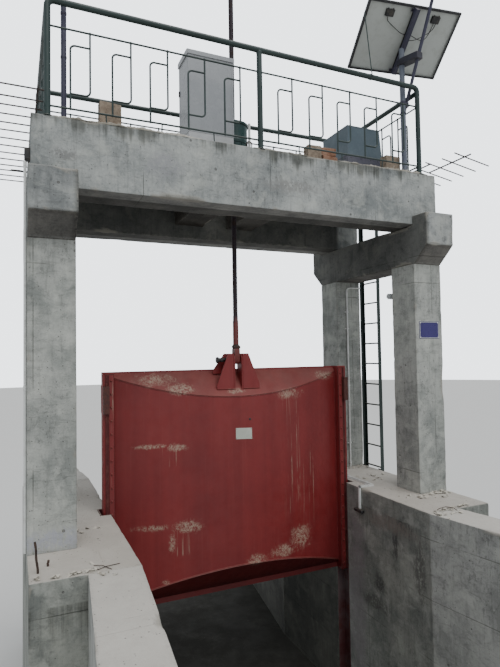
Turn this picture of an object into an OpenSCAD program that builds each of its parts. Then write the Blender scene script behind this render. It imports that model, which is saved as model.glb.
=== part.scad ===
// Screw-hoisted sluice gate in a small reinforced concrete headworks.
// Frame: X across the channel, Y along it towards the back, Z up.
// The origin is at the underside of the floor, at the centre of the gate bay.
// All sizes are in millimetres and all angles in degrees.

/* [Gate bay] */
// Clear width of the waterway between the bay walls
bay_w = 3000; // [2400:50:3600]
// Length of the gate bay along the channel
bay_l = 3340; // [3000:20:3800]
// Height of the walls above the channel floor
wall_h = 2800; // [2700:50:3200]
// Thickness of each bay wall
wall_t = 850; // [800:10:1000]
// Thickness of the floor
floor_t = 400; // [300:20:500]

/* [Wing walls] */
// Length of each wing wall
wing_l = 2500; // [1500:100:3500]
// Thickness of each wing wall
wing_t = 420; // [300:10:500]
// Outward flare of the left wing walls
wing_flare_left = 5; // [2:1:12]
// Outward flare of the right wing walls
wing_flare_right = 9; // [2:1:12]

/* [Slots and guides] */
// Width of the slot in each bay wall
slot_w = 260; // [240:5:300]
// Depth of the slot in each bay wall
slot_d = 110; // [100:5:140]
// Centre of the slots, measured back from the middle of the bay
slot_y = -40; // [-80:5:0]
// Thickness of the steel that lines each slot
guide_t = 10; // [8:1:14]

/* [Portal frame] */
// Width of each column across the channel
col_w = 410; // [360:10:460]
// Depth of each column along the channel
col_d = 420; // [360:10:460]
// Overall depth of the portal frame along the channel
portal_d = 2100; // [2000:20:2300]
// Height of the columns above the wall tops
col_h = 2745; // [2600:5:2900]
// Height of the cap beams between the columns
cap_h = 480; // [420:10:540]
// Overhang of the corbels in front of and behind the columns
corbel_l = 230; // [150:10:260]
// Height of a main beam
beam_h = 640; // [560:10:700]
// Width of a main beam
beam_w = 440; // [380:10:480]
// Setback of each main beam behind the face of the columns
beam_setback = 10; // [0:5:30]
// Thickness of the deck slabs
deck_t = 120; // [100:10:160]
// Width of each hoist beam
hoist_beam_w = 380; // [300:10:400]
// Clear gap between the two hoist beams
hoist_gap = 330; // [300:10:380]

/* [Gate leaf] */
// Grip of the leaf in each slot, beyond the face of the wall
leaf_grip = 70; // [60:2:80]
// Height of the leaf
leaf_h = 2646; // [2560:2:2680]
// Distance from the back of the leaf to the crown of the skin
leaf_bulge = 260; // [220:5:280]
// Depth of a side post
post_d = 120; // [100:5:125]
// Width of a side post
post_w = 120; // [100:5:140]
// Thickness of the skin, end plates and ribs
plate_t = 10; // [8:1:14]
// Rise of each sloping end plate between the back and the crown
end_rise = 290; // [200:10:340]
// Height of the straight lip below the lower end plate
lip_bottom = 60; // [40:5:80]
// Height of the straight lip above the upper end plate
lip_top = 20; // [15:5:40]
// Number of horizontal ribs behind the skin
rib_rows = 4; // [3:1:5]
// Number of upright ribs behind the skin
rib_cols = 3; // [3:2:5]
// Height of the lower edge of the leaf above the floor
leaf_lift = 1670; // [1000:10:1700]

/* [Stem and bracket] */
// Diameter of the hoist screw
stem_d = 62; // [50:1:70]
// Length of the hoist screw above the bracket pin
stem_l = 4750; // [4600:50:5200]
// Diameter of the bracket pin
pin_d = 50; // [40:1:56]
// Half width of the bracket wings at their foot
wing_foot = 275; // [220:5:300]
// Half width of the bracket wings at their top
wing_head = 130; // [110:5:150]

/* [Hoist and cabinet] */
// Outer diameter of the hoist body
hoist_d = 370; // [300:10:400]
// Height of the hoist above the deck
hoist_h = 660; // [600:10:740]
// Width of the control cabinet
cabinet_w = 530; // [450:10:600]
// Depth of the control cabinet
cabinet_d = 350; // [300:10:400]
// Height of the control cabinet
cabinet_h = 1165; // [1000:5:1250]
// Width of the sheet metal housing
housing_w = 570; // [480:10:640]
// Depth of the sheet metal housing
housing_d = 580; // [480:10:620]
// Height of the sheet metal housing
housing_h = 720; // [620:10:780]

/* [Railings] */
// Height of the top rail above the deck
rail_h = 1090; // [1000:10:1150]
// Height of the top rail along the back
back_rail_h = 1180; // [1150:10:1300]
// Diameter of the rail and post pipes
rail_d = 60; // [48:1:64]
// Height of the lower thin rail above the deck
low_rail_h = 105; // [80:5:160]
// Drop from the top rail to the upper thin rail
thin_drop = 240; // [160:10:280]
// Width of a thin rail or scroll bar
bar_t = 16; // [12:1:20]
// Scrolls in each bay of a long railing
scrolls = 5; // [4:1:6]
// Width of a scroll
scroll_w = 195; // [160:5:220]
// Outer bend radius of a scroll
scroll_r = 55; // [40:5:70]

/* [Ladder] */
// Width of the ladder over its side rails
ladder_w = 410; // [350:10:450]
// Spacing of the rungs
rung_pitch = 300; // [260:10:320]

/* [Power supply] */
// Height of the middle of the solar panel above the deck
panel_up = 1708; // [1600:2:1800]
// Height of the foot of the leaning mast above the deck
mast_up = 835; // [700:5:900]
// Length of the leaning mast
mast_l = 1900; // [1600:50:2000]
// Height of the pole at the left corner
pole_h = 2100; // [1800:50:2300]
// Width of the solar panel
panel_w = 1240; // [1000:10:1300]
// Height of the solar panel along its slope
panel_h = 800; // [640:10:840]
// Slope of the solar panel above the horizontal
panel_slope = 39.5; // [30:0.5:50]
// Turn of the solar panel about the upright
panel_turn = -9; // [-15:1:0]
// Diameter of the post under the solar panel
panel_post_d = 66; // [50:2:80]
// Diameter of the panel's leads
lead_d = 8; // [6:1:9]

/* [Reinforcing bars] */
// Diameter of a starter bar
bar_d = 16; // [12:1:20]
// Spacing of the starter bars
bar_pitch = 200; // [180:5:220]
// Bars in each mat
bar_count = 14; // [10:1:14]
// Length of a starter bar
bar_l = 695; // [600:5:800]
// Reach of the starter bars over the end of the beams
bar_hold = 105; // [70:5:105]
// Reach of the left mat in front of the portal frame
mat_reach_left = 160; // [60:10:200]
// Reach of the right mat in front of the portal frame
mat_reach_right = 350; // [240:10:400]

/* [Small fittings] */
// Height of the camera above the wall top
camera_up = 2400; // [2200:10:2500]
// Height of the foot of the sign plate above the wall top
sign_up = 1845; // [1600:5:2000]

/* [Hidden] */
$fn = 40;

// Levels
z_floor = floor_t;
z_wall = floor_t + wall_h;
z_cap = z_wall + col_h;
z_beam = z_cap + cap_h;
z_deck = z_beam + beam_h;
z_leaf = z_floor + leaf_lift;
z_top = z_leaf + leaf_h;

// Places across and along the channel
x_in = bay_w / 2;
x_out = x_in + wall_t;
x_col = x_out - col_w / 2;
y_bay = bay_l / 2;
y_col = portal_d / 2 - col_d / 2;
y_face = portal_d / 2;
beam_len = 2 * x_out - 60;
y_beam = y_face - beam_setback - beam_w / 2;
deck_in = y_beam - beam_w / 2;

// Leaf: its width, back plane and skin radius, and the place of the screw
leaf_w = bay_w + 2 * leaf_grip;
y_back = slot_y + 70;
leaf_in = leaf_w / 2 - post_w;
skin_edge = 40;
sag = leaf_bulge - skin_edge;
skin_r = (leaf_in * leaf_in + sag * sag) / (2 * sag);
y_stem = slot_y - 60;
z_pin = z_top + 110;

// Railing lines
y_rail = y_face - 50;
x_rail_l = 170 - x_out;
x_rail_r = x_out - 240;
x_rail_m = (x_rail_l + x_rail_r) / 2 - 15;
rail_r = rail_d / 2;

// Small clearances between pieces that are set against each other
seat = 0.3;

concrete = [0.63, 0.64, 0.62];
gate_red = [0.42, 0.13, 0.13];
rail_green = [0.13, 0.23, 0.21];
steel_indigo = [0.25, 0.25, 0.33];

module at_both_sides() {
    children();
    mirror([1, 0, 0]) children();
}

// Concrete below the deck

module wing_plan(flare) {
    dx = wing_l * sin(flare);
    dy = wing_l * cos(flare);
    polygon([[x_in, y_bay], [x_in + dx, y_bay + dy],
             [x_in + dx + wing_t * cos(flare), y_bay + dy - wing_t * sin(flare)],
             [x_in + wing_t / cos(flare), y_bay]]);
}

module wing(flare, side, end) {
    color(concrete)
        scale([side, end, 1]) translate([0, 0, z_floor])
            linear_extrude(wall_h) wing_plan(flare);
}

module floor_half(end) {
    fl = wing_flare_left;
    fr = wing_flare_right;
    yl = y_bay + wing_l * cos(fl);
    yr = y_bay + wing_l * cos(fr);
    xl = x_in + wing_l * sin(fl);
    xr = x_in + wing_l * sin(fr);
    scale([1, end, 1])
        polygon([[-x_out, 0], [x_out, 0], [x_out, y_bay], [x_in + wing_t / cos(fr), y_bay],
                 [xr + wing_t * cos(fr), yr - wing_t * sin(fr)], [xr, yr], [-xl, yl],
                 [-xl - wing_t * cos(fl), yl - wing_t * sin(fl)],
                 [-x_in - wing_t / cos(fl), y_bay], [-x_out, y_bay]]);
}

module floor_slab() {
    color(concrete)
        linear_extrude(floor_t) {
            floor_half(1);
            floor_half(-1);
        }
}

module bay_wall() {
    color(concrete)
        difference() {
            translate([x_in, -y_bay, z_floor]) cube([wall_t, bay_l, wall_h]);
            translate([x_in - 1, slot_y - slot_w / 2, z_floor - 1])
                cube([slot_d + 1, slot_w, wall_h + 2]);
        }
}

module left_bay_wall() mirror([1, 0, 0]) bay_wall();
module right_bay_wall() bay_wall();
module left_front_wing() wing(wing_flare_left, -1, -1);
module right_front_wing() wing(wing_flare_right, 1, -1);
module left_back_wing() wing(wing_flare_left, -1, 1);
module right_back_wing() wing(wing_flare_right, 1, 1);

// A guide is a steel channel that lines the slot from the floor to the wall top
module guide() {
    w = slot_w - 2 * seat;
    translate([x_in, slot_y, z_floor])
        linear_extrude(wall_h)
            difference() {
                translate([0, -w / 2]) square([slot_d - seat, w]);
                translate([-1, -w / 2 + guide_t]) square([slot_d - seat - guide_t + 1, w - 2 * guide_t]);
            }
}

module guide_rails() {
    color(gate_red) at_both_sides() guide();
}

// Portal frame

module column(side, end) {
    color(concrete)
        translate([side * x_col - col_w / 2, end * y_col - col_d / 2, z_wall])
            cube([col_w, col_d, col_h]);
}

module front_left_column() column(-1, -1);
module front_right_column() column(1, -1);
module back_left_column() column(-1, 1);
module back_right_column() column(1, 1);

// A cap beam ties two columns and ends in sloping corbels with an upstand
module cap_beam(side) {
    y_end = y_face + corbel_l;
    y_up = y_face - beam_setback + seat;
    slope_h = corbel_l * 0.9;
    half = [[y_face, 0], [y_end, slope_h], [y_end, cap_h + 100], [y_up, cap_h + 100], [y_up, cap_h]];
    rest = [for (i = [len(half) - 1:-1:0]) [-half[i][0], half[i][1]]];
    color(concrete)
        translate([side * x_col - col_w / 2, 0, z_cap])
            rotate([90, 0, 90]) linear_extrude(col_w) polygon(concat(half, rest));
}

module left_cap_beam() cap_beam(-1);
module right_cap_beam() cap_beam(1);

module main_beam(end) {
    color(concrete)
        translate([-beam_len / 2, end * y_beam - beam_w / 2, z_beam])
            cube([beam_len, beam_w, beam_h]);
}

module front_main_beam() main_beam(-1);
module back_main_beam() main_beam(1);

// Two beams along the channel carry the hoist between the main beams
module hoist_beams() {
    z0 = z_beam + 165;
    color(concrete)
        at_both_sides()
            translate([hoist_gap / 2, -deck_in, z0])
                cube([hoist_beam_w, 2 * deck_in, z_deck - z0]);
}

module deck_slabs() {
    x0 = hoist_gap / 2 + hoist_beam_w;
    color(concrete)
        at_both_sides()
            translate([x0, -deck_in, z_deck - deck_t])
                cube([beam_len / 2 - x0, 2 * deck_in, deck_t]);
}

// Hoist, cabinet and housing on the deck

module hoist_base() {
    color([0.08, 0.28, 0.25])
        translate([0, y_stem, z_deck])
            difference() {
                union() {
                    translate([-200, -220, 0]) cube([400, 440, 24]);
                    translate([0, 0, 24]) cylinder(d = hoist_d * 0.9, h = hoist_h * 0.2);
                }
                translate([0, 0, -1]) cylinder(d = stem_d + 40, h = hoist_h);
            }
}

module hoist_body() {
    z0 = 24 + hoist_h * 0.2;
    h = hoist_h - z0;
    x_cable = max(hoist_d / 2 + 40, 220);
    color([0.08, 0.28, 0.25])
        translate([0, y_stem, z_deck + z0])
            difference() {
                union() {
                    cylinder(d = hoist_d, h = h * 0.9);
                    translate([0, 0, h * 0.9]) cylinder(d = hoist_d + 12, h = h * 0.04);
                    translate([0, 0, h * 0.94]) cylinder(d = hoist_d * 0.36, h = h * 0.06);
                    translate([hoist_d / 2 - 8, -12, h * 0.72]) cube([x_cable - hoist_d / 2 + 8, 24, 16]);
                    translate([x_cable, 0, -z0]) cylinder(d = 30, h = hoist_h + 40);
                }
                translate([0, 0, -1]) cylinder(d = stem_d + 20, h = h + 2);
            }
}

// Bronze nut inside the hoist body that carries the screw
module hoist_nut() {
    color([0.55, 0.42, 0.22])
        translate([0, y_stem, z_deck + 24 + hoist_h * 0.2 + 60])
            difference() {
                cylinder(d = stem_d + 20 - 2 * seat, h = 180);
                translate([0, 0, -1]) cylinder(d = stem_d + 2 * seat, h = 182);
            }
}

module sheet_housing() {
    x0 = x_rail_r - 130 - housing_w;
    color([0.33, 0.39, 0.43])
        translate([x0, -500, z_deck]) {
            translate([20, 20, 0]) cube([housing_w - 40, housing_d - 40, 60]);
            translate([0, housing_d, 60])
                rotate([90, 0, 0])
                    linear_extrude(housing_d)
                        polygon([[0, 0], [housing_w, 0], [housing_w - 70, housing_h - 60],
                                 [0, housing_h - 60]]);
        }
}

module control_cabinet() {
    color([0.61, 0.63, 0.64])
        translate([-200 - cabinet_w, -630, z_deck]) {
            translate([5, 5, 0]) cube([cabinet_w - 10, cabinet_d - 10, 255]);
            translate([0, 0, 255]) cube([cabinet_w, cabinet_d, cabinet_h - 315]);
            translate([-10, -10, cabinet_h - 60]) cube([cabinet_w + 20, cabinet_d + 20, 60]);
        }
}

// Railings

// A scroll of two bent bars that lock into each other, drawn between two thin rails
module scroll(h) {
    arm = h * 0.18;
    module bent_bar() {
        square([bar_t, h - arm - scroll_r]);
        translate([scroll_r, h - arm - scroll_r])
            intersection() {
                difference() {
                    circle(scroll_r, $fn = 32);
                    circle(scroll_r - bar_t, $fn = 32);
                }
                translate([-scroll_r, 0]) square(scroll_r);
            }
        translate([scroll_r - 1, h - arm - bar_t]) square([scroll_w - scroll_r - bar_t + 2, bar_t]);
    }
    bent_bar();
    translate([scroll_w, h]) rotate(180) bent_bar();
}

// Infill between two posts: two thin rails and a row of scrolls
module infill(x0, x1, count, h) {
    z0 = low_rail_h;
    z1 = h - thin_drop;
    pitch = (x1 - x0) / (count + 0.55);
    translate([x0, z0 - bar_t / 2]) square([x1 - x0, bar_t]);
    translate([x0, z1 - bar_t / 2]) square([x1 - x0, bar_t]);
    for (i = [0:count - 1])
        translate([(x0 + x1) / 2 + (i - (count - 1) / 2) * pitch - scroll_w / 2, z0 - 1])
            scroll(z1 - z0 + 2);
}

// A railing in the XZ plane with its posts at the given places
module rail_panel(posts, counts, h) {
    first = posts[0];
    last = posts[len(posts) - 1];
    bend = 60;
    for (x = posts)
        translate([x, 0, 0]) cylinder(d = rail_d, h = x == first || x == last ? h - bend : h);
    translate([first + bend, 0, h]) rotate([0, 90, 0]) cylinder(d = rail_d, h = last - first - 2 * bend);
    for (e = [[first, 0], [last, 180]])
        translate([e[0], 0, h - bend])
            rotate([90, 0, e[1]])
                translate([bend, 0, 0]) mirror([1, 0, 0])
                    rotate_extrude(angle = 90, $fn = 40) translate([bend, 0]) circle(d = rail_d);
    for (i = [0:len(counts) - 1])
        translate([0, bar_t / 2, 0])
            rotate([90, 0, 0])
                linear_extrude(bar_t) infill(posts[i], posts[i + 1], counts[i], h);
}

module long_railing(end, h) {
    color(rail_green)
        translate([0, end * y_rail, z_deck])
            rail_panel([x_rail_l, x_rail_m, x_rail_r], [scrolls, scrolls], h);
}

module front_railing() long_railing(-1, rail_h);
module back_railing() long_railing(1, back_rail_h);

// A side railing runs back from the front one and carries no corner post of its own
module side_railing(x, y1, count, closed) {
    y0 = -y_rail + rail_r + seat;
    ye = closed ? y1 - rail_r - seat : y1;
    color(rail_green)
        translate([x, 0, z_deck]) {
            translate([0, y0, rail_h - 62]) rotate([-90, 0, 0]) cylinder(d = rail_d, h = ye - y0);
            translate([bar_t / 2, 0, 0])
                rotate([90, 0, -90])
                    linear_extrude(bar_t)
                        scale([-1, 1, 1]) infill(y0, closed ? ye : ye - 1, count, rail_h);
            if (!closed)
                translate([0, ye - rail_r, 0]) cylinder(d = rail_d, h = rail_h - 62);
        }
}

module left_side_railing() side_railing(x_rail_l, y_rail, scrolls, true);
module right_side_railing() side_railing(x_rail_r, 217, 3, false);

// Ladder against the outer face of the right cap beam

module ladder() {
    x = x_out + 55;
    y0 = 220;
    z0 = z_wall - 60;
    z1 = z_deck + 60;
    stile = 45;
    color([0.1, 0.16, 0.15]) {
        for (y = [y0, y0 + ladder_w - stile])
            translate([x - 8, y, z0]) cube([16, stile, z1 - z0]);
        for (z = [z_wall + 20:rung_pitch:z1 - 100])
            translate([x, y0 + 10, z]) rotate([-90, 0, 0]) cylinder(d = 22, h = ladder_w - 20, $fn = 16);
        for (z = [z_wall - 45, z_cap + 200], y = [y0, y0 + ladder_w - stile])
            translate([x_out, y, z]) cube([x - x_out, stile, 12]);
    }
}

// Solar panel on its post

post_x = x_rail_r - 140;
post_y = 100 - y_rail;
panel_z = z_deck + panel_up;

module on_panel() {
    translate([post_x + 20, post_y - 20, panel_z])
        rotate([0, 0, panel_turn]) rotate([-panel_slope, 0, 0]) children();
}

module solar_post() {
    color(steel_indigo) {
        translate([post_x, post_y, z_deck]) cylinder(d = 160, h = 10);
        difference() {
            translate([post_x, post_y, z_deck]) cylinder(d = panel_post_d, h = panel_z - z_deck);
            on_panel() translate([-300, -300, -45]) cube([600, 600, 400]);
        }
        on_panel() {
            translate([-25, -panel_h / 2 + 20, -90]) cube([50, panel_h - 40, 50]);
            for (v = [-panel_h / 2 + 20, panel_h / 2 - 80])
                translate([-25, v, -41]) cube([50, 60, 23.5 - seat]);
        }
    }
}

module solar_panel() {
    color([0.56, 0.57, 0.55])
        on_panel()
            difference() {
                translate([-panel_w / 2, -panel_h / 2, -17.5]) cube([panel_w, panel_h, 35]);
                for (s = [-1, 1])
                    translate([s * (panel_w / 4 + 10) - panel_w / 4 + 30, -panel_h / 2 + 25, -18.5])
                        cube([panel_w / 2 - 60, panel_h - 50, 24]);
            }
}

module panel_boxes() {
    color([0.12, 0.12, 0.13])
        on_panel()
            for (u = [-0.25, 0.25])
                translate([u * panel_w - 55, -panel_h * 0.3 - 80, -25]) cube([110, 80, 30]);
}

// Leads of the panel, drawn in the panel's own axes. Each hangs clear behind the panel:
// one links the two boxes and passes between the panel and its beam, one runs to the beam.

ku = panel_w / 1240;
kv = panel_h / 800;
link_route = [
    for (p = [[-320, -240, -12], [-320, -222, -12], [-314, -206, -14], [-301, -191, -17], [-281, -178, -21],
              [-259, -166, -24], [-235, -154, -27], [-210, -142, -29], [-185, -130, -32], [-160, -118, -34],
              [-135, -106, -36], [-110, -95, -36], [-84, -87, -35], [-58, -82, -33], [-31, -80, -31],
              [-4, -80, -30], [23, -80, -31], [49, -79, -34], [74, -74, -38], [98, -67, -44], [122, -60, -51],
              [147, -55, -57], [173, -52, -61], [199, -53, -62], [222, -59, -59], [242, -71, -54],
              [257, -87, -48], [269, -107, -41], [279, -130, -33], [287, -154, -25], [293, -178, -18],
              [298, -203, -13], [300, -222, -12], [300, -240, -12]])
        [p[0] * ku, p[1] * kv, p[2]]
];
down_route = [
    for (p = [[330, -240, -12], [330, -222, -12], [326, -204, -15], [317, -187, -21], [304, -171, -30],
              [287, -157, -41], [267, -144, -51], [246, -132, -58], [224, -121, -63], [202, -108, -67],
              [180, -92, -69], [159, -78, -70], [137, -65, -71], [114, -53, -71], [91, -43, -69],
              [69, -36, -67], [48, -32, -66]])
        [max(p[0] * ku, 40), p[1] * kv, p[2]],
    [25 + seat, -30 * kv, -66]
];

// Solid round tube along a route of points
module lead(route) {
    n = len(route);
    sides = 10;
    ring = [
        for (i = [0:n - 1])
            let (t = route[min(i + 1, n - 1)] - route[max(i - 1, 0)],
                 k = t / norm(t),
                 a = cross(k, [0.2, 0.3, 1]) / norm(cross(k, [0.2, 0.3, 1])),
                 b = cross(k, a))
                for (j = [0:sides - 1])
                    route[i] + (a * cos(j * 360 / sides) + b * sin(j * 360 / sides)) * lead_d / 2
    ];
    sheath = [
        for (i = [0:n - 2], j = [0:sides - 1])
            let (m = (j + 1) % sides)
                each [[i * sides + j, (i + 1) * sides + j, (i + 1) * sides + m],
                      [i * sides + j, (i + 1) * sides + m, i * sides + m]]
    ];
    first = [[for (j = [0:sides - 1]) j]];
    last = [[for (j = [0:sides - 1]) n * sides - 1 - j]];
    color([0.06, 0.06, 0.06])
        on_panel() polyhedron(ring, concat(sheath, first, last));
}

module panel_link_lead() lead(link_route);
module panel_down_lead() lead(down_route);

// Mast that leans forward over the railing, and the pole at the left corner

function tilt_of(v) = [0, acos(v[2] / norm(v)), atan2(v[1], v[0])];

module leaning_mast() {
    foot = [post_x + 74, post_y + 68, z_deck + mast_up];
    run = [25, -480, 1080];
    color(steel_indigo) {
        translate(foot) rotate(tilt_of(run)) cylinder(d = 40, h = mast_l);
        translate([post_x + panel_post_d / 2 + seat, post_y - 20, foot[2] + 40]) cube([45, 110, 60]);
    }
}

module left_pole() {
    color(steel_indigo)
        translate([x_rail_l + 150, 100 - y_rail, z_deck]) {
            cylinder(d = 140, h = 10);
            translate([0, 0, 10]) cylinder(d = 50, h = pole_h);
        }
}

// Small fittings

module camera() {
    x = x_col - 100;
    y = -y_face + col_d;
    z = z_wall + camera_up;
    color([0.75, 0.76, 0.75]) {
        translate([x - 30, y, z - 40]) cube([60, 8, 90]);
        translate([x - 10, y + 8, z + 10]) cube([20, 60, 20]);
        translate([x - 110, y + 66, z]) rotate([0, 90, 0]) cylinder(d = 76, h = 170);
    }
}

module sign_plate() {
    color([0.17, 0.14, 0.43])
        translate([x_col - 150, -y_face - 2 - seat, z_wall + sign_up]) cube([300, 2, 205]);
}

// Two mats of starter bars lie on the ends of the deck for a later span
module bar_mat(side, y0, droop, cut) {
    z = 135;
    x0 = beam_len / 2 - bar_hold;
    x_tie = beam_len / 2 - bar_hold / 2;
    x_front = x_tie + 160;
    y_end = y0 + (bar_count - 0.5) * bar_pitch;
    color([0.25, 0.2, 0.17])
        translate([0, 0, z_deck])
            scale([side, 1, 1]) {
                translate([x_front, 0, z])
                    rotate([0, droop, 0])
                        translate([-x_front, 0, 0]) {
                            for (i = [0:bar_count - 1])
                                let (y = y0 + i * bar_pitch, x = y < -y_face ? x0 + cut : x0)
                                    translate([x, y, 0])
                                        rotate([0, 90, 0]) cylinder(d = bar_d, h = bar_l - cut - x + x0, $fn = 16);
                            for (t = cut == 0 ? [[x_tie, y0 - 90, y_end]] :
                                                [[x_tie, -y_face + 20, y_end], [x_front, y0 - 110, -y_face + 220]])
                                translate([t[0] - bar_d / 2, t[1], -bar_d * 0.9])
                                    cube([bar_d, t[2] - t[1], bar_d]);
                        }
                for (y = [-y_beam, y_beam])
                    translate([x_tie, y, 0])
                        cylinder(d = bar_d, h = z - bar_d * 0.4 + (x_front - x_tie) * sin(droop), $fn = 16);
            }
}

module starter_bars() {
    bar_mat(-1, -y_face - mat_reach_left, 0, 0);
    bar_mat(1, -y_face - mat_reach_right, 9, 75);
}

// Conduits on the columns, and the level sensor hung from the one on the right wall
module conduits() {
    xr = x_col - 35;
    yr = y_face - col_d - 13 - seat;
    color([0.85, 0.86, 0.86]) {
        translate([xr, yr, z_wall]) cylinder(d = 26, h = col_h - 95);
        translate([xr - 13, yr - 13, z_cap - 95]) cube([x_out - xr + 13, 26, 26]);
    }
    color([0.8, 0.81, 0.81])
        for (y = [-y_face + 80, -y_face + 120])
            translate([-x_out - 13 - seat, y, z_wall]) cylinder(d = 26, h = col_h + cap_h + 215);
    level_sensor();
}

module level_sensor() {
    y = -470;
    color([0.85, 0.86, 0.86]) {
        translate([x_in + 170, y - 13, z_wall]) cube([26, 580, 26]);
        translate([x_in - 28, y - 13, z_wall]) cube([198, 26, 26]);
        translate([x_in - 28 - seat, y - 13, z_wall - 270]) cube([26, 26, 296]);
    }
    color([0.1, 0.12, 0.2])
        translate([x_in - 27, y - 80, z_wall - 275]) rotate([-90, 0, 0]) cylinder(d = 50, h = 170);
}

// Gate leaf: an arched skin closed by sloping end plates, on a straight back frame

// Plan of the leaf in front of its back plane, out to the given radius
module leaf_plan(r, y_end) {
    intersection() {
        translate([0, y_back - leaf_bulge + skin_r]) circle(r, $fn = 720);
        translate([-leaf_in, y_back - leaf_bulge - 1])
            square([2 * leaf_in, leaf_bulge + 1 - y_end]);
    }
}

// Side profile of the leaf, drawn in from its sloping ends by a distance
module leaf_profile(inset) {
    y0 = y_back - leaf_bulge - 5;
    k = end_rise / (leaf_bulge - plate_t);
    lift = inset * sqrt(1 + k * k);
    far = end_rise + 5 * k;
    polygon([[y_back, lip_bottom + lift - plate_t * k], [y0, lip_bottom + far + lift],
             [y0, leaf_h - lip_top - far - lift], [y_back, leaf_h - lip_top - lift + plate_t * k]]);
}

module leaf_envelope(r, inset, y_end) {
    intersection() {
        translate([0, 0, z_leaf]) linear_extrude(leaf_h) leaf_plan(r, y_end);
        translate([-leaf_w / 2, 0, z_leaf])
            rotate([90, 0, 90]) linear_extrude(leaf_w) leaf_profile(inset);
    }
}

module gate_skin() {
    color(gate_red)
        intersection() {
            translate([0, 0, z_leaf])
                linear_extrude(leaf_h)
                    difference() {
                        leaf_plan(skin_r, skin_edge - 25);
                        translate([0, y_back - leaf_bulge + skin_r]) circle(skin_r - plate_t, $fn = 720);
                    }
            translate([-leaf_w / 2, 0, z_leaf])
                rotate([90, 0, 90]) linear_extrude(leaf_w) leaf_profile(plate_t + seat);
        }
}

module gate_end_plates() {
    color(gate_red)
        difference() {
            leaf_envelope(skin_r, 0, plate_t + seat);
            translate([-leaf_w / 2, 0, z_leaf])
                rotate([90, 0, 90]) linear_extrude(leaf_w) leaf_profile(plate_t);
        }
}

module gate_side_posts() {
    color(gate_red)
        at_both_sides()
            translate([leaf_in + seat, y_back - post_d, z_leaf])
                cube([post_w - seat, post_d, leaf_h]);
}

// Grid of ribs between the skin and the back plane, with flanges and edge plates along the back
module gate_ribs() {
    edge_h = 160;
    z0 = end_rise * 0.62 + lip_bottom;
    step = (leaf_h - lip_top - lip_bottom - 2 * end_rise * 0.62) / (rib_rows - 1);
    color(gate_red) {
        intersection() {
            leaf_envelope(skin_r - plate_t - seat, plate_t + seat, plate_t);
            union() {
                for (i = [0:rib_rows - 1])
                    translate([-leaf_w / 2, y_back - leaf_bulge, z_leaf + z0 + lip_bottom + i * step - 60])
                        cube([leaf_w, leaf_bulge, plate_t]);
                for (i = [0:rib_cols - 1])
                    translate([(i - (rib_cols - 1) / 2) * leaf_in * 2 / (rib_cols + 1) - plate_t / 2,
                               y_back - leaf_bulge, z_leaf])
                        cube([plate_t, leaf_bulge, leaf_h]);
            }
        }
        for (i = [0:rib_rows - 1])
            translate([-leaf_in, y_back - plate_t, z_leaf + z0 + lip_bottom + i * step - 100])
                cube([2 * leaf_in, plate_t, 90]);
        for (z = [z_leaf, z_top - edge_h])
            translate([-leaf_in, y_back - plate_t, z]) cube([2 * leaf_in, plate_t, edge_h]);
    }
}

// Sliding shoes at the corners of the leaf run in the guides
module gate_shoes() {
    gap = 10;
    w = leaf_grip - 10;
    front = slot_y - slot_w / 2 + guide_t + gap;
    back = slot_y + slot_w / 2 - guide_t - gap;
    color([0.3, 0.27, 0.24])
        at_both_sides()
            for (z = [z_leaf + 150, z_top - 450]) {
                translate([x_in + 8, front, z]) cube([w, y_back - post_d - front, 300]);
                translate([x_in + 8, y_back, z]) cube([w, back - y_back, 300]);
            }
}

// Lifting bracket: two cheeks hold the pin, and a wing plate stands on each side of them
module lifting_bracket() {
    t = 14;
    cheek_x = 42;
    z_at_stem = z_top - lip_top - end_rise * (y_back - y_stem - plate_t) / (leaf_bulge - plate_t);
    foot = [for (y = [y_stem - 75, y_stem + 75])
            z_top - lip_top - end_rise * (y_back - plate_t - y) / (leaf_bulge - plate_t)];
    color(gate_red)
        difference() {
            union() {
                for (s = [-1, 1])
                    translate([s * cheek_x - (s < 0 ? t : 0), 0, 0])
                        rotate([90, 0, 90])
                            linear_extrude(t)
                                union() {
                                    translate([y_stem, z_pin]) circle(75);
                                    polygon([[y_stem - 75, foot[0] + 1], [y_stem + 75, foot[1] + 1],
                                             [y_stem + 75, z_pin], [y_stem - 75, z_pin]]);
                                }
                for (i = [0, 1])
                    translate([0, y_stem - 75 + i * (150 - t) + t, 0])
                        rotate([90, 0, 0])
                            linear_extrude(t)
                                for (s = [-1, 1])
                                    polygon([[s * (cheek_x + t - 1), foot[i] + 18], [s * wing_foot, foot[i] + 18],
                                             [s * wing_foot, foot[i] + 60], [s * wing_head, z_pin + 75],
                                             [s * (cheek_x + t - 1), z_pin + 75]]);
            }
            translate([-400, y_stem, z_pin]) rotate([0, 90, 0]) cylinder(d = pin_d + 1, h = 800);
        }
}

module bracket_pin() {
    color([0.1, 0.1, 0.11])
        translate([-230, y_stem, z_pin]) {
            rotate([0, 90, 0]) cylinder(d = pin_d, h = 350);
            translate([-25, 0, 0]) rotate([0, 90, 0]) cylinder(d = pin_d * 1.5, h = 25);
        }
}

module hoist_screw() {
    color([0.2, 0.19, 0.2])
        difference() {
            union() {
                translate([-34, y_stem - 45, z_pin - 55]) cube([68, 90, 190]);
                translate([0, y_stem, z_pin + 134]) cylinder(d = stem_d, h = stem_l - 134);
            }
            translate([-60, y_stem, z_pin]) rotate([0, 90, 0]) cylinder(d = pin_d + 1, h = 120);
        }
}

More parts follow.
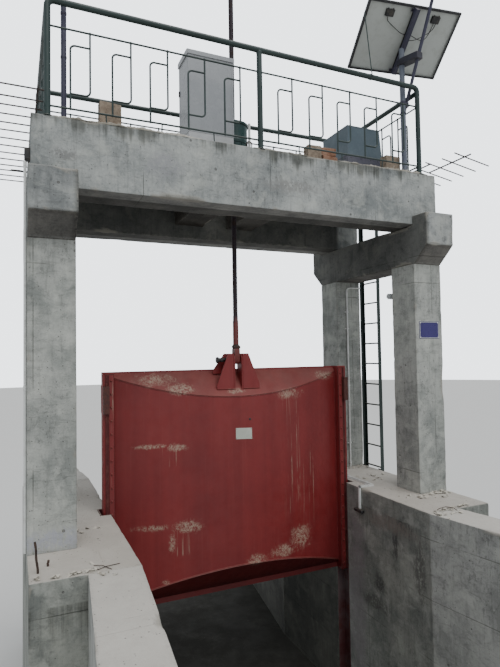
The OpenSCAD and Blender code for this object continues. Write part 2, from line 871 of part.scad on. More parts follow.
floor_slab();
left_bay_wall();
right_bay_wall();
left_front_wing();
right_front_wing();
left_back_wing();
right_back_wing();
guide_rails();
front_left_column();
front_right_column();
back_left_column();
back_right_column();
left_cap_beam();
right_cap_beam();
front_main_beam();
back_main_beam();
hoist_beams();
deck_slabs();
hoist_base();
hoist_body();
hoist_nut();
sheet_housing();
control_cabinet();
front_railing();
back_railing();
left_side_railing();
right_side_railing();
ladder();
solar_post();
solar_panel();
panel_boxes();
panel_link_lead();
panel_down_lead();
leaning_mast();
left_pole();
camera();
sign_plate();
starter_bars();
conduits();
gate_skin();
gate_end_plates();
gate_side_posts();
gate_ribs();
gate_shoes();
lifting_bracket();
bracket_pin();
hoist_screw();
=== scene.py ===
"""Looks of a screw-hoisted sluice gate in a small concrete headworks.

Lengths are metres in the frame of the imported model: X across the channel, Y along it to the back, Z up.
"""
import logging
import math
import random
from dataclasses import dataclass
from enum import Enum
from typing import Callable, Iterable, Sequence

import bmesh
import bpy
from mathutils import Matrix, Vector, noise


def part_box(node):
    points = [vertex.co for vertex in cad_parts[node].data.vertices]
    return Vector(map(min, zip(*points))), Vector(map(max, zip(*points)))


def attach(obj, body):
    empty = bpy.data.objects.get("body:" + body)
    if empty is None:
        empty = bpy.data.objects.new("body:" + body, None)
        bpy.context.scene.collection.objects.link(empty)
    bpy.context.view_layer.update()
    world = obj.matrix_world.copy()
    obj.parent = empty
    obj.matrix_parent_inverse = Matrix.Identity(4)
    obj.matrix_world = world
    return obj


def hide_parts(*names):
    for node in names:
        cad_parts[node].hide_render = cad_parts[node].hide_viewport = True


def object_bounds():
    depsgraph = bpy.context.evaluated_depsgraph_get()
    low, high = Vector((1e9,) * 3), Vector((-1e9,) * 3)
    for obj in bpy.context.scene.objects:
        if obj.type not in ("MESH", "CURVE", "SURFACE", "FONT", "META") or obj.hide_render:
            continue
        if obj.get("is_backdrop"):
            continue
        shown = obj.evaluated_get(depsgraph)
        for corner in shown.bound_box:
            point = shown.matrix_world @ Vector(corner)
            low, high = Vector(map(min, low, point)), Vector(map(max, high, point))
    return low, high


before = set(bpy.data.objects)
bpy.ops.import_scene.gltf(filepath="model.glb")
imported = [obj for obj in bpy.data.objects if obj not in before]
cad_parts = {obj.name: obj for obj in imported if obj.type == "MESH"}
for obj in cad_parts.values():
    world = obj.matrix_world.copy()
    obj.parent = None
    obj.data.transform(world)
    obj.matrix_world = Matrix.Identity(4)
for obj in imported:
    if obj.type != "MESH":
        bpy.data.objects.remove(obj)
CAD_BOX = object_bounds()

Point = Sequence[float]
Colour = str
log = logging.getLogger("sluice_gate")
RIGHT, LEFT, BACK, FRONT, UP = (1, 0, 0), (-1, 0, 0), (0, 1, 0), (0, -1, 0), (0, 0, 1)


# Shapes

class Axis(Enum):
    """Axis along which an outline is drawn out."""

    X = 0
    Y = 1
    Z = 2

    def place(self, u: float, v: float, t: float) -> Vector:
        """Point at (u, v) in the plane of the outline and t along the axis."""
        return Vector(((t, u, v), (u, t, v), (u, v, t))[self.value])


def mm(*values: float, size: int = 2) -> tuple[tuple[float, ...], ...]:
    """Points from lengths in millimetres that stand one after another.

    Args:
        values: Distance along the axis and radius of each point, or its coordinates.
        size: Lengths of each point.

    Returns:
        The points, in metres.
    """
    return tuple(tuple(v / 1000 for v in values[i:i + size]) for i in range(0, len(values), size))


def grid(across: int, up: int, point: Callable[[int, int], Point]) -> list[list[Point]]:
    """Rows of points, from a function of the number across and the number up."""
    return [[point(i, j) for i in range(across)] for j in range(up)]


def rounded(points: Iterable[Point], radius: float, steps: int = 6) -> list[Vector]:
    """Rounds the corners of a path.

    Args:
        points: Corners of the path, with its two ends.
        radius: Radius of each bend.
        steps: Parts in each bend.

    Returns:
        The points of the path with an arc at each corner.
    """
    path = [Vector(p) for p in points]
    out = [path[0]]
    for before, at, after in zip(path, path[1:], path[2:]):
        a, b = (before - at), (after - at)
        half = a.angle(b) / 2
        reach = min(radius / math.tan(half), a.length * 0.49, b.length * 0.49)
        a.normalize()
        b.normalize()
        centre = at + (a + b).normalized() * reach / math.cos(half)
        start, end = at + a * reach - centre, at + b * reach - centre
        out += [centre + start.slerp(
                    end, i / steps, start) * start.length / start.slerp(end, i / steps, start).length
                for i in range(steps + 1)]
    return out + [path[-1]]


class Stock:
    """Mesh of one piece in the making."""

    def __init__(self) -> None:
        """Starts an empty mesh."""
        self.bm = bmesh.new()

    def ring(self, points: Iterable[Point]) -> list[bmesh.types.BMVert]:
        """Adds one vertex for each point."""
        return [self.bm.verts.new(p) for p in points]

    def face(self, verts: Sequence[bmesh.types.BMVert]) -> None:
        """Adds a face, without the vertices that repeat, where three or more are left."""
        kept = [v for i, v in enumerate(verts) if v is not verts[i - 1]]
        if len(set(kept)) == len(kept) > 2 and not self.bm.faces.get(kept):
            self.bm.faces.new(kept)

    def wrap(self, rings: Sequence[Sequence[bmesh.types.BMVert]], closed: bool = False,
             caps: bool = True) -> None:
        """Joins closed rings of equal count one after another.

        Args:
            rings: Rings of vertices.
            closed: Whether the last ring joins the first.
            caps: Whether the two ends are closed with a face.
        """
        count = len(rings[0])
        pairs = list(zip(rings, rings[1:])) + ([(rings[-1], rings[0])] if closed else [])
        for a, b in pairs:
            for i in range(count):
                j = (i + 1) % count
                self.face((a[i], a[j], b[j], b[i]))
        if caps and not closed:
            self.face(list(reversed(rings[0])))
            self.face(list(rings[-1]))

    def prism(self, axis: Axis, outline: Iterable[Point], low: float, high: float) -> None:
        """Draws an outline out along an axis, from low to high."""
        flat = list(outline)
        self.wrap([self.ring(axis.place(p[0], p[1], t) for p in flat) for t in (low, high)])

    def block(self, low: Point, high: Point) -> None:
        """Adds a block between its lowest and highest corners."""
        (a, b, c), (d, e, f) = low, high
        self.prism(Axis.Z, ((a, b), (d, b), (d, e), (a, e)), c, f)

    def pipe(self, path: Iterable[Point], radius: float | Callable[[int], float], sides: int = 12,
             closed: bool = False) -> None:
        """Sweeps a circle along a path.

        Args:
            path: Points of the centre line.
            radius: Radius, or a function that gives it at each point.
            sides: Sides of the circle.
            closed: Whether the path is a loop.
        """
        line = [Vector(p) for p in path]
        rings = []
        side = None
        for i, at in enumerate(line):
            before = line[i - 1] if i or closed else at
            after = line[(i + 1) % len(line)] if i < len(line) - 1 or closed else at
            run = (after - before).normalized()
            side = run.orthogonal() if side is None else side
            side = (side - run * side.dot(run)).normalized()
            across = run.cross(side)
            r = radius(i) if callable(radius) else radius
            turns = [math.tau * k / sides for k in range(sides)]
            rings.append(self.ring(at + (side * math.cos(t) + across * math.sin(t)) * r for t in turns))
        self.wrap(rings, closed)

    def lathe(self, base: Point, run: Point, profile: Iterable[Point], sides: int = 32,
              turn: float = 0.0) -> None:
        """Turns a profile about an axis.

        Args:
            base: Start of the axis.
            run: Direction of the axis.
            profile: Pairs of distance along the axis and radius.
            sides: Sides of each circle.
            turn: Turn of the first side about the axis.
        """
        at, way = Vector(base), Vector(run).normalized()
        side = way.orthogonal().normalized()
        across = way.cross(side)
        turns = [turn + math.tau * k / sides for k in range(sides)]
        self.wrap([self.ring(at + way * t + (side * math.cos(a) + across * math.sin(a)) * max(r, 1e-4)
                             for a in turns) for t, r in profile])

    def bolt(self, at: Point, run: Point, size: float, tail: float = 0.0) -> None:
        """Adds a washer and a hexagon nut.

        Args:
            at: Seat of the washer.
            run: Direction that the nut faces.
            size: Thread diameter.
            tail: Length of thread that stands out of the nut.
        """
        s, way = size, Vector(run).normalized()
        self.lathe(
            at, run, ((0, s * 1.1), (s * 0.16, s * 1.1), (s * 0.2, s * 1.02), (s * 0.2, s * 0.6)), 20)
        top = s * 0.2
        self.lathe(Vector(at) + way * top, run, ((0, s * 0.95), (s * 0.68, s * 0.95), (s * 0.8, s * 0.8)),
                   6, size * 900)
        if tail:
            self.lathe(Vector(at) + way * top, run,
                       ((0, s / 2), (s * 0.8 + tail, s / 2), (s * 0.8 + tail + s * 0.1, s * 0.4)), 12)

    def bead(self, path: Iterable[Point], radius: float, seed: int = 0) -> None:
        """Lays a rippled weld bead along a path.

        Args:
            path: Corners of the seam.
            radius: Mean radius of the bead.
            seed: Seed of its unevenness.
        """
        corners = [Vector(p) for p in path]
        line = []
        for a, b in zip(corners, corners[1:]):
            count = max(1, round((b - a).length / (radius * 2)))
            line += [a.lerp(b, i / count) for i in range(count)]
        line.append(corners[-1])
        rng = random.Random(seed)
        sizes = [radius * (1 + 0.22 * (i % 2) + rng.uniform(-0.15, 0.15)) for i in range(len(line))]
        self.pipe(line, lambda i: sizes[i], 6)

    def plate(self, grid: Sequence[Sequence[Point]], offset: Callable[[Vector], Vector]) -> None:
        """Makes a closed plate from a grid of points on one face.

        Args:
            grid: Rows of points.
            offset: Function that gives the point on the other face.
        """
        front = [self.ring(row) for row in grid]
        back = [self.ring(offset(Vector(p)) for p in row) for row in grid]
        for side, flip in ((front, False), (back, True)):
            for a, b in zip(side, side[1:]):
                for i in range(len(a) - 1):
                    quad = (a[i], a[i + 1], b[i + 1], b[i])
                    self.face(tuple(reversed(quad)) if flip else quad)
        loops = [[*rows[0], *[r[-1] for r in rows[1:-1]], *reversed(rows[-1]),
                  *[r[0] for r in reversed(rows[1:-1])]] for rows in (front, back)]
        self.wrap(loops, caps=False)

    def piece(self, name: str, finish: "Finish", slot: str, hides: Sequence[str] = (), bevel: float = 0.0,
              angle: float = 40.0, body: str = "structure") -> bpy.types.Object:
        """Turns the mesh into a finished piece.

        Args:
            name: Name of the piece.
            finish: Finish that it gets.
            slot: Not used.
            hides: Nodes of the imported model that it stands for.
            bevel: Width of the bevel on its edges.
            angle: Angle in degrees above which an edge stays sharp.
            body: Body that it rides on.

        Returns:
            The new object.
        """
        bm = self.bm
        bmesh.ops.recalc_face_normals(bm, faces=bm.faces)
        if bevel:
            edges = [e for e in bm.edges
                     if len(e.link_faces) == 2 and e.calc_face_angle(0.0) > math.radians(angle)]
            bmesh.ops.bevel(
                bm, geom=edges, offset=bevel, segments=2, profile=0.5, affect="EDGES", clamp_overlap=True)
        mesh = bpy.data.meshes.new(name)
        bm.to_mesh(mesh)
        bm.free()
        mesh.shade_smooth()
        mesh.set_sharp_from_angle(angle=math.radians(angle))
        mesh.materials.append(finish.material())
        obj = bpy.data.objects.new(name, mesh)
        bpy.context.scene.collection.objects.link(obj)
        if bevel:
            obj.modifiers.new("Even normals", "WEIGHTED_NORMAL").keep_sharp = True
        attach(obj, body)
        if hides:
            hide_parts(*hides)
        log.info("%s: %d faces, %s, on the %s", name, len(mesh.polygons), finish.name, body)
        return obj


@dataclass
class CastBlock:
    """Block of cast concrete: an outline drawn out along an axis, with worn and chipped edges."""

    axis: Axis
    outline: Sequence[Point]
    low: float
    high: float
    seed: int = 1
    step: float = 0.05
    ease: float = 0.006
    chips: float = 0.04
    ends: tuple[float, float] = (1.0, 1.0)
    swell: float = 0.002
    bands: tuple[float, ...] = (0.0, 0.004, 0.010, 0.020, 0.036, 0.060)

    def wear_at(self, edge: int, along: float) -> float:
        """Radius to which an edge is worn at a place along it."""
        at = Vector((along * 2.6, edge * 7.3 + self.seed * 1.7, self.seed * 3.1))
        deep = max(0.0, noise.noise(at) - 0.25) * 2.0
        fine = max(0.0, noise.noise(at * 5.3) - 0.12) * 0.7
        return self.ease + self.chips * min(1.1, deep * deep * 2 + fine)

    @staticmethod
    def eased(gap: float, radius: float) -> tuple[float, float]:
        """Distance from an edge and depth under the face, for a point that was gap away before wear."""
        if gap >= radius:
            return gap, 0.0
        turn = math.pi / 4 * (1 - gap / radius)
        return radius * (1 - math.sin(turn)), radius * (1 - math.cos(turn))

    def stations(self, length: float, last: bool) -> list[float]:
        """Places along a length, close together near its ends.

        Args:
            length: Length to divide.
            last: Whether the far end itself is included.

        Returns:
            Distances from the near end.
        """
        near = [b for b in self.bands if b < length * 0.45]
        edge = near[-1]
        count = max(1, round((length - 2 * edge) / self.step))
        inner = [edge + (length - 2 * edge) * i / count for i in range(1, count)]
        far = [length - b for b in reversed(near)]
        return near + inner + (far if last else far[:-1])

    def pour(self, stock: Stock) -> None:
        """Adds the block to a mesh, with its wear kept in the attributes edge and chip."""
        bm = stock.bm
        edge_layer = bm.verts.layers.float.get("edge") or bm.verts.layers.float.new("edge")
        chip_layer = bm.verts.layers.float.get("chip") or bm.verts.layers.float.new("chip")
        corners = [Vector(p).to_2d() for p in self.outline]
        if sum(a.cross(b) for a, b in zip(corners, corners[1:] + corners[:1])) < 0:
            corners.reverse()
        n = len(corners)
        runs = [corners[(k + 1) % n] - corners[k] for k in range(n)]
        sizes = [r.length for r in runs]
        runs = [r.normalized() for r in runs]
        lean = [math.tan(math.atan2(runs[k - 1].cross(runs[k]), runs[k - 1].dot(runs[k])) / 2)
                for k in range(n)]
        places = [(k, s) for k in range(n) for s in self.stations(sizes[k], False)]
        arcs = [sum(sizes[:k]) + s for k, s in places]

        def inset(k: int, s: float, depth: float) -> Vector:
            """Point at s along side k, set in by a depth."""
            low, high = depth * lean[k], sizes[k] - depth * lean[(k + 1) % n]
            along = low if s == 0 else min(max(s, low), high)
            return corners[k] + runs[k] * along + Vector((-runs[k].y, runs[k].x)) * depth

        def corner_wear(k: int, s: float, t: float) -> tuple[Vector, float, float]:
            """Shift of a point by the wear of the corners of side k, its distance from them, and the wear."""
            shift, near, worn = Vector((0.0, 0.0)), 1.0, 0.0
            inward = Vector((-runs[k].y, runs[k].x))
            for corner, gap, way in ((k, s, 1), ((k + 1) % n, sizes[k] - s, -1)):
                if lean[corner] > 0.05:
                    radius = min(self.wear_at(corner, t), sizes[k] * 0.45)
                    far, depth = self.eased(gap, radius)
                    shift += runs[k] * (far - gap) * way + inward * depth
                    near = min(near, gap)
                    worn = max(worn, radius - self.ease * 1.8 if gap < radius * 1.15 else 0.0)
            return shift, near, worn

        def end_wear(end: int, arc: float, gap: float) -> tuple[float, float, float]:
            """Distance along, depth and wear of a point near one end of the block."""
            radius = self.wear_at(50 + end, arc) * self.ends[end] + 1e-4
            far, depth = self.eased(gap, radius)
            return far, depth, (radius - self.ease * 1.8 if gap < radius * 1.15 else 0.0)

        def vertex(flat: Vector, t: float, near: float, worn: float) -> bmesh.types.BMVert:
            """Adds a vertex that carries how near an edge it is and how worn."""
            v = bm.verts.new(self.axis.place(flat.x, flat.y, t))
            v[edge_layer] = max(0.0, 1.0 - near / 0.06)
            v[chip_layer] = min(1.0, max(0.0, worn) / 0.008)
            return v

        rows = []
        for e in self.stations(self.high - self.low, True):
            t = self.low + e
            row = []
            for (k, s), arc in zip(places, arcs):
                shift, near, worn = corner_wear(k, s, t)
                end = 0 if e < self.high - t else 1
                far, depth, more = end_wear(end, arc, min(e, self.high - t))
                level = self.low + far if end == 0 else self.high - far
                at = inset(k, s, depth) + shift
                wave = noise.noise(Vector((at.x * 1.7, at.y * 1.7, t * 1.7 + self.seed))) + 0.4
                at += Vector((-runs[k].y, runs[k].x)) * (self.swell * wave if near > 0.02 else 0.0)
                row.append(vertex(at, level, min(near, e, self.high - t), max(worn, more)))
            rows.append(row)
        stock.wrap(rows, caps=False)
        for end, border in ((0, rows[0]), (1, rows[-1])):
            last = border
            for gap in self.bands[1:]:
                row = []
                for (k, s), arc in zip(places, arcs):
                    far, depth, more = end_wear(end, arc, gap)
                    shift, near, worn = corner_wear(k, s, self.low if end == 0 else self.high)
                    fade = max(0.0, 1 - gap / self.bands[-1])
                    flat = inset(k, s, far) + shift * fade
                    level = self.low + depth if end == 0 else self.high - depth
                    if row and (row[-1].co - self.axis.place(flat.x, flat.y, level)).length < 1e-4:
                        row.append(row[-1])
                    else:
                        row.append(vertex(flat, level, gap, max(more, worn * fade)))
                stock.wrap([last, row], caps=False)
                last = row
            loop = [v for i, v in enumerate(last) if (v.co - last[i - 1].co).length > 1e-5]
            cap = bm.faces.new(loop)
            cap.normal_update()
            bmesh.ops.triangulate(bm, faces=[cap])

    def cast(self, node: str, finish: "Finish") -> None:
        """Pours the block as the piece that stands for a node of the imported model."""
        stock = Stock()
        self.pour(stock)
        stock.piece(node + "_cast", finish, "concrete", (node,), angle=28)


def rectangle(low: Point, high: Point) -> list[Point]:
    """Outline of a rectangle between two corners."""
    return [(low[0], low[1]), (high[0], low[1]), (high[0], high[1]), (low[0], high[1])]


# Wiring of shaders

def shade(colour: Colour) -> tuple[float, ...]:
    """Linear colour of a shade that is given in display values, two hexadecimal digits for each."""
    return tuple(
        (v / 255 / 12.92) if v < 11 else ((v / 255 + 0.055) / 1.055) ** 2.4 for v in bytes.fromhex(colour))



class Signal:
    """Value in a node tree that sums and products can be made with."""

    def __init__(self, wires: "Wires", socket: bpy.types.NodeSocket) -> None:
        """Keeps the socket that gives the value, and the wires of its tree."""
        self.wires, self.socket = wires, socket

    def __add__(self, other: "Signal | float") -> "Signal":
        """Sum."""
        return self.wires.math("ADD", self, other)

    def __sub__(self, other: "Signal | float") -> "Signal":
        """Difference."""
        return self.wires.math("SUBTRACT", self, other)

    def __radd__(self, other: float) -> "Signal":
        """Sum with a number in front."""
        return self.wires.math("ADD", other, self)

    def __rsub__(self, other: float) -> "Signal":
        """Difference from a number."""
        return self.wires.math("SUBTRACT", other, self)

    def __mul__(self, other: "Signal | float") -> "Signal":
        """Product."""
        return self.wires.math("MULTIPLY", self, other)

    def __truediv__(self, other: "Signal | float") -> "Signal":
        """Quotient."""
        return self.wires.math("DIVIDE", self, other)

    def __abs__(self) -> "Signal":
        """Size without its sign."""
        return self.wires.math("ABSOLUTE", self)


class Wires:
    """Short hand for the wiring of one node tree."""

    def __init__(self, tree: bpy.types.NodeTree) -> None:
        """Takes the tree that gets the nodes."""
        self.tree = tree

    def add(self, kind: str, inputs: dict | None = None, **settings: object) -> bpy.types.Node:
        """Adds a node.

        Args:
            kind: Name of the node type without its ShaderNode prefix.
            inputs: Values or sockets for its inputs, by name or number.
            settings: Other properties of the node.

        Returns:
            The new node.
        """
        node = self.tree.nodes.new(kind if kind.startswith("Node") else "ShaderNode" + kind)
        for key, value in settings.items():
            setattr(node, key, value)
        for key, value in (inputs or {}).items():
            if isinstance(value, Signal):
                self.tree.links.new(value.socket, node.inputs[key])
            else:
                node.inputs[key].default_value = value
        return node

    def get(self, kind: str, inputs: dict | None = None, output: int | str = 0,
            **settings: object) -> Signal:
        """Output of a new node that is added with the other arguments."""
        return Signal(self, self.add(kind, inputs, **settings).outputs[output])

    def all(self, kind: str, inputs: dict | None = None, **settings: object) -> dict[str, Signal]:
        """Outputs of a new node by name."""
        return {out.name: Signal(self, out) for out in self.add(kind, inputs, **settings).outputs}

    def math(self, operation: str, a: Signal | float, b: Signal | float = 0.0,
             clamp: bool = False) -> Signal:
        """Result of a Math node."""
        return self.get("Math", {0: a, 1: b}, operation=operation, use_clamp=clamp)

    def mix(self, share: Signal | float, a: Signal | Colour, b: Signal | Colour | Point) -> Signal:
        """Colour between a and b."""
        a, b = [(*shade(c), 1.0) if isinstance(c, str) else (*c, 1.0) if isinstance(c, tuple) else c
                for c in (a, b)]
        return self.get("Mix", {0: share, 6: a, 7: b}, 2, data_type="RGBA")

    def tint(self, share: Signal | float, a: Signal, b: Point) -> Signal:
        """Colour a multiplied by b, as far as the share says."""
        return self.get("Mix", {0: share, 6: a, 7: (*b, 1.0)}, 2, data_type="RGBA", blend_type="MULTIPLY")

    def span(self, value: Signal, low: Signal | float, high: Signal | float, start: float = 0.0,
             end: float = 1.0) -> Signal:
        """Value mapped smoothly from low..high to start..end."""
        inputs = {"Value": value, "From Min": low, "From Max": high, "To Min": start, "To Max": end}
        return self.get("MapRange", inputs, interpolation_type="SMOOTHSTEP")

    def stretch(self, vector: Signal, x: float, y: float, z: float) -> Signal:
        """Vector multiplied part by part."""
        return self.get("VectorMath", {0: vector, 1: (x, y, z)}, operation="MULTIPLY")

    def noise(self, vector: Signal, scale: Signal | float, detail: float = 4.0, rough: float = 0.55,
              warp: float = 0.0) -> Signal:
        """Value of a noise texture."""
        inputs = {
            "Vector": vector, "Scale": scale, "Detail": detail, "Roughness": rough, "Distortion": warp}
        return self.get("TexNoise", inputs)

    def parts(self, vector: Signal) -> tuple[Signal, ...]:
        """The three parts of a vector."""
        return tuple(self.all("SeparateXYZ", {0: vector}).values())


class Effect(Enum):
    """Effects that several finishes share, each one a node group that is built once."""

    MOTTLE = "Mottle"
    PORES = "Pores"
    PANELS = "Form panels"
    RUNS = "Runs from the top"
    WORN_EDGES = "Worn edges"
    DUST_AND_SHADE = "Settled dust and painted shade"
    SPLASH = "Splash"
    SPECKS = "Rust specks"

    def group(self) -> bpy.types.NodeTree:
        """Node group of the effect, built when it is first asked for."""
        found = bpy.data.node_groups.get(self.value)
        if found:
            return found
        tree = bpy.data.node_groups.new(self.value, "ShaderNodeTree")
        names, build = EFFECTS[self]
        for name, kind, value in names:
            socket = tree.interface.new_socket(name, in_out="INPUT", socket_type="NodeSocket" + kind)
            if value is not None:
                socket.default_value = value
        wires = Wires(tree)
        results = build(wires, [Signal(wires, socket) for socket in wires.add("NodeGroupInput").outputs])
        for name in results:
            tree.interface.new_socket(name, in_out="OUTPUT", socket_type="NodeSocketFloat")
        wires.add("NodeGroupOutput", results)
        return tree

    def use(self, wires: Wires, **inputs: Signal | float | tuple) -> dict[str, Signal]:
        """Places the effect in a tree.

        Args:
            wires: Tree that gets the effect.
            inputs: Values by input name.

        Returns:
            What it gives, by output name.
        """
        return wires.all("Group", inputs, node_tree=self.group())


def build_mottle(w: Wires, ins: Sequence[Signal]) -> dict[str, Signal]:
    """Cloudy tone at three scales, from 0 to 1, and a fine grain."""
    broad = w.noise(ins[0], ins[1], 3.0, 0.5, 0.6)
    middle = w.noise(ins[0], ins[1] * 4.3, 4.0, 0.6, 0.3)
    fine = w.noise(ins[0], ins[1] * 37.0, 3.0, 0.7)
    tone = broad * 0.5 + (middle * 0.33 + fine * 0.17)
    return {"Tone": w.span(tone, 0.36, 0.64), "Grain": fine}


def build_pores(w: Wires, ins: Sequence[Signal]) -> dict[str, Signal]:
    """Small round holes of uneven size, as a mask."""
    cells = w.all("TexVoronoi", {"Vector": ins[0], "Scale": ins[1], "Randomness": 1.0})
    pick = w.get("SeparateColor", {0: cells["Color"]})
    size = w.span(pick, 1.0 - ins[2], 1.0) * 0.3
    return {"Mask": w.span(size - cells["Distance"], 0.0, 0.06)}


def build_panels(w: Wires, ins: Sequence[Signal]) -> dict[str, Signal]:
    """Tone of each form panel, and the seams between panels."""
    x, y, z = w.parts(ins[0])
    nx, ny, nz = [abs(v) for v in w.parts(w.get("NewGeometry", None, "Normal"))]
    side = w.math("GREATER_THAN", nx, ny)
    flat = w.math("GREATER_THAN", nz, 0.8)
    across = w.get("Mix", {0: side, 2: x, 3: y})
    rise = w.get("Mix", {0: flat, 2: z, 3: y})
    u = (across - ins[3]) / ins[1]
    v = (rise - ins[4]) / ins[2]
    lines = []
    for value, size in ((u, ins[1]), (v, ins[2])):
        off = w.math("PINGPONG", value, 0.5) * size
        lines.append(w.span(off, 0.0015, 0.006, 1.0, 0.0))
    cell = w.get("CombineXYZ", {0: w.math("FLOOR", u), 1: w.math("FLOOR", v), 2: side})
    tone = w.get("TexWhiteNoise", {"Vector": cell}, "Value")
    broken = w.span(w.noise(ins[0], 2.1, 3.0), 0.42, 0.6)
    return {"Tone": tone, "Seam": w.math("MAXIMUM", *lines) * broken}


def build_runs(w: Wires, ins: Sequence[Signal]) -> dict[str, Signal]:
    """Stains that run down from a level, thinning out over a length."""
    z = w.parts(ins[0])[2]
    thin = w.noise(w.stretch(ins[0], 1.0, 1.0, 0.045), ins[3], 4.0, 0.65)
    wide = w.noise(w.stretch(ins[0], 1.0, 1.0, 0.12), ins[3] * 0.22, 2.0)
    drop = (ins[1] - z) / ins[2]
    reach = w.span(drop, 0.0, 1.0, 0.0, 1.0)
    limit = 0.46 + reach * 0.34
    mask = w.span(thin * 0.6 + wide * 0.5, limit, limit + 0.16)
    return {"Mask": mask * w.span(drop, 1.1, 0.6) * w.span(drop, -0.02, 0.0)}


def build_worn_edges(w: Wires, ins: Sequence[Signal]) -> dict[str, Signal]:
    """Mask along outer edges, broken up by noise."""
    soft = w.get("Bevel", {"Radius": ins[1]}, samples=4)
    hard = w.get("NewGeometry", None, "Normal")
    bend = 1.0 - w.get("VectorMath", {0: soft, 1: hard}, "Value", operation="DOT_PRODUCT")
    patch = w.noise(ins[0], ins[2], 4.0, 0.7)
    return {"Mask": w.span(bend, 0.01, 0.12) * w.span(patch, 0.42, 0.62)}


def build_dust_and_shade(w: Wires, ins: Sequence[Signal]) -> dict[str, Signal]:
    """Masks of faces that look up, where dust and dirt settle, and of faces that look down, for painted
    shade.
    """
    nz = w.parts(w.get("NewGeometry", None, "Normal"))[2]
    patch = w.noise(ins[0], ins[1], 5.0, 0.6)
    up = w.span(nz + (patch - 0.5) * 0.6, 0.35, 0.85)
    return {"Up": up, "Down": w.span(nz, -0.35, -0.85)}


def build_splash(w: Wires, ins: Sequence[Signal]) -> dict[str, Signal]:
    """Blotch round a centre, with a ragged rim, crumbs in it and drips under it."""
    wobble = w.noise(ins[0], 7.0, 5.0, 0.7)
    near = w.get("VectorMath", {0: ins[0], 1: ins[1]}, operation="SUBTRACT")
    near = w.get("VectorMath", {0: near, 1: ins[2]}, operation="DIVIDE")
    far = w.get("VectorMath", {0: near}, "Value", operation="LENGTH")
    crumbs = w.noise(w.stretch(ins[0], 1.0, 1.0, 0.6), 34.0, 4.0, 0.75)
    body = w.span(far + (wobble - 0.5) * 1.6, 1.0, 0.3)
    return {"Mask": body * w.span(crumbs + body * 0.1, 0.45, 0.62)}


def build_specks(w: Wires, ins: Sequence[Signal]) -> dict[str, Signal]:
    """Scattered specks and blooms of rust."""
    bloom = w.noise(ins[0], ins[1], 6.0, 0.72, 0.3)
    speck = w.noise(ins[0], ins[1] * 9.0, 3.0, 0.6)
    level = 0.78 - ins[2] * 0.34
    both = bloom * 0.72 + speck * 0.34
    return {"Mask": w.span(both, level, level + 0.06), "Height": speck}


VECTOR = ("Vector", "Vector", None)
EFFECTS = {
    Effect.MOTTLE: ((VECTOR, ("Scale", "Float", 1.0)), build_mottle),
    Effect.PORES: ((VECTOR, ("Scale", "Float", 20.0), ("Amount", "Float", 0.3)), build_pores),
    Effect.PANELS: ((VECTOR, ("Width", "Float", 1.2), ("Height", "Float", 0.6), ("Across", "Float", 0.0),
                     ("Rise", "Float", 0.0)), build_panels),
    Effect.RUNS: (
        (VECTOR, ("Top", "Float", 1.0), ("Length", "Float", 0.5), ("Scale", "Float", 8.0)), build_runs),
    Effect.WORN_EDGES: ((VECTOR, ("Radius", "Float", 0.004), ("Scale", "Float", 12.0)), build_worn_edges),
    Effect.DUST_AND_SHADE: ((VECTOR, ("Scale", "Float", 3.0)), build_dust_and_shade),
    Effect.SPLASH: ((VECTOR, ("Centre", "Vector", (0.0, 0.0, 0.0)), ("Reach", "Vector", (1.0, 1.0, 1.0))),
                    build_splash),
    Effect.SPECKS: ((VECTOR, ("Scale", "Float", 3.0), ("Amount", "Float", 0.3)), build_specks),}


# Finishes



@dataclass(frozen=True)
class Finish:
    """A finish of the object, made as a material when a piece first asks for it."""

    name: str

    def material(self) -> bpy.types.Material:
        """Material of the finish."""
        found = bpy.data.materials.get(self.name)
        if found:
            return found
        made = bpy.data.materials.new(self.name)
        made.use_nodes = True
        made.node_tree.nodes.clear()
        wires = Wires(made.node_tree)
        shader = wires.add("BsdfPrincipled")
        wires.add("OutputMaterial", {"Surface": Signal(wires, shader.outputs[0])})
        self.wire(wires, wires.get("TexCoord", None, "Object"), shader)
        return made

    def wire(self, w: Wires, at: Signal, shader: bpy.types.Node) -> None:
        """Wires the finish.

        Args:
            w: Wires of the material.
            at: Place on the object.
            shader: Shader that the finish feeds.
        """
        raise NotImplementedError

    @staticmethod
    def feed(w: Wires, shader: bpy.types.Node, **values: Signal) -> None:
        """Joins sockets to inputs of the shader, with underscores for spaces."""
        for key, value in values.items():
            w.tree.links.new(value.socket, shader.inputs[key.replace("_", " ")])

    @staticmethod
    def relief(w: Wires, shader: bpy.types.Node, height: Signal, depth: float) -> None:
        """Turns a height from 0 to 1 into relief of a depth in metres."""
        bump = w.add("Bump", {"Strength": 1.0, "Distance": depth, "Height": height})
        w.tree.links.new(bump.outputs[0], shader.inputs["Normal"])


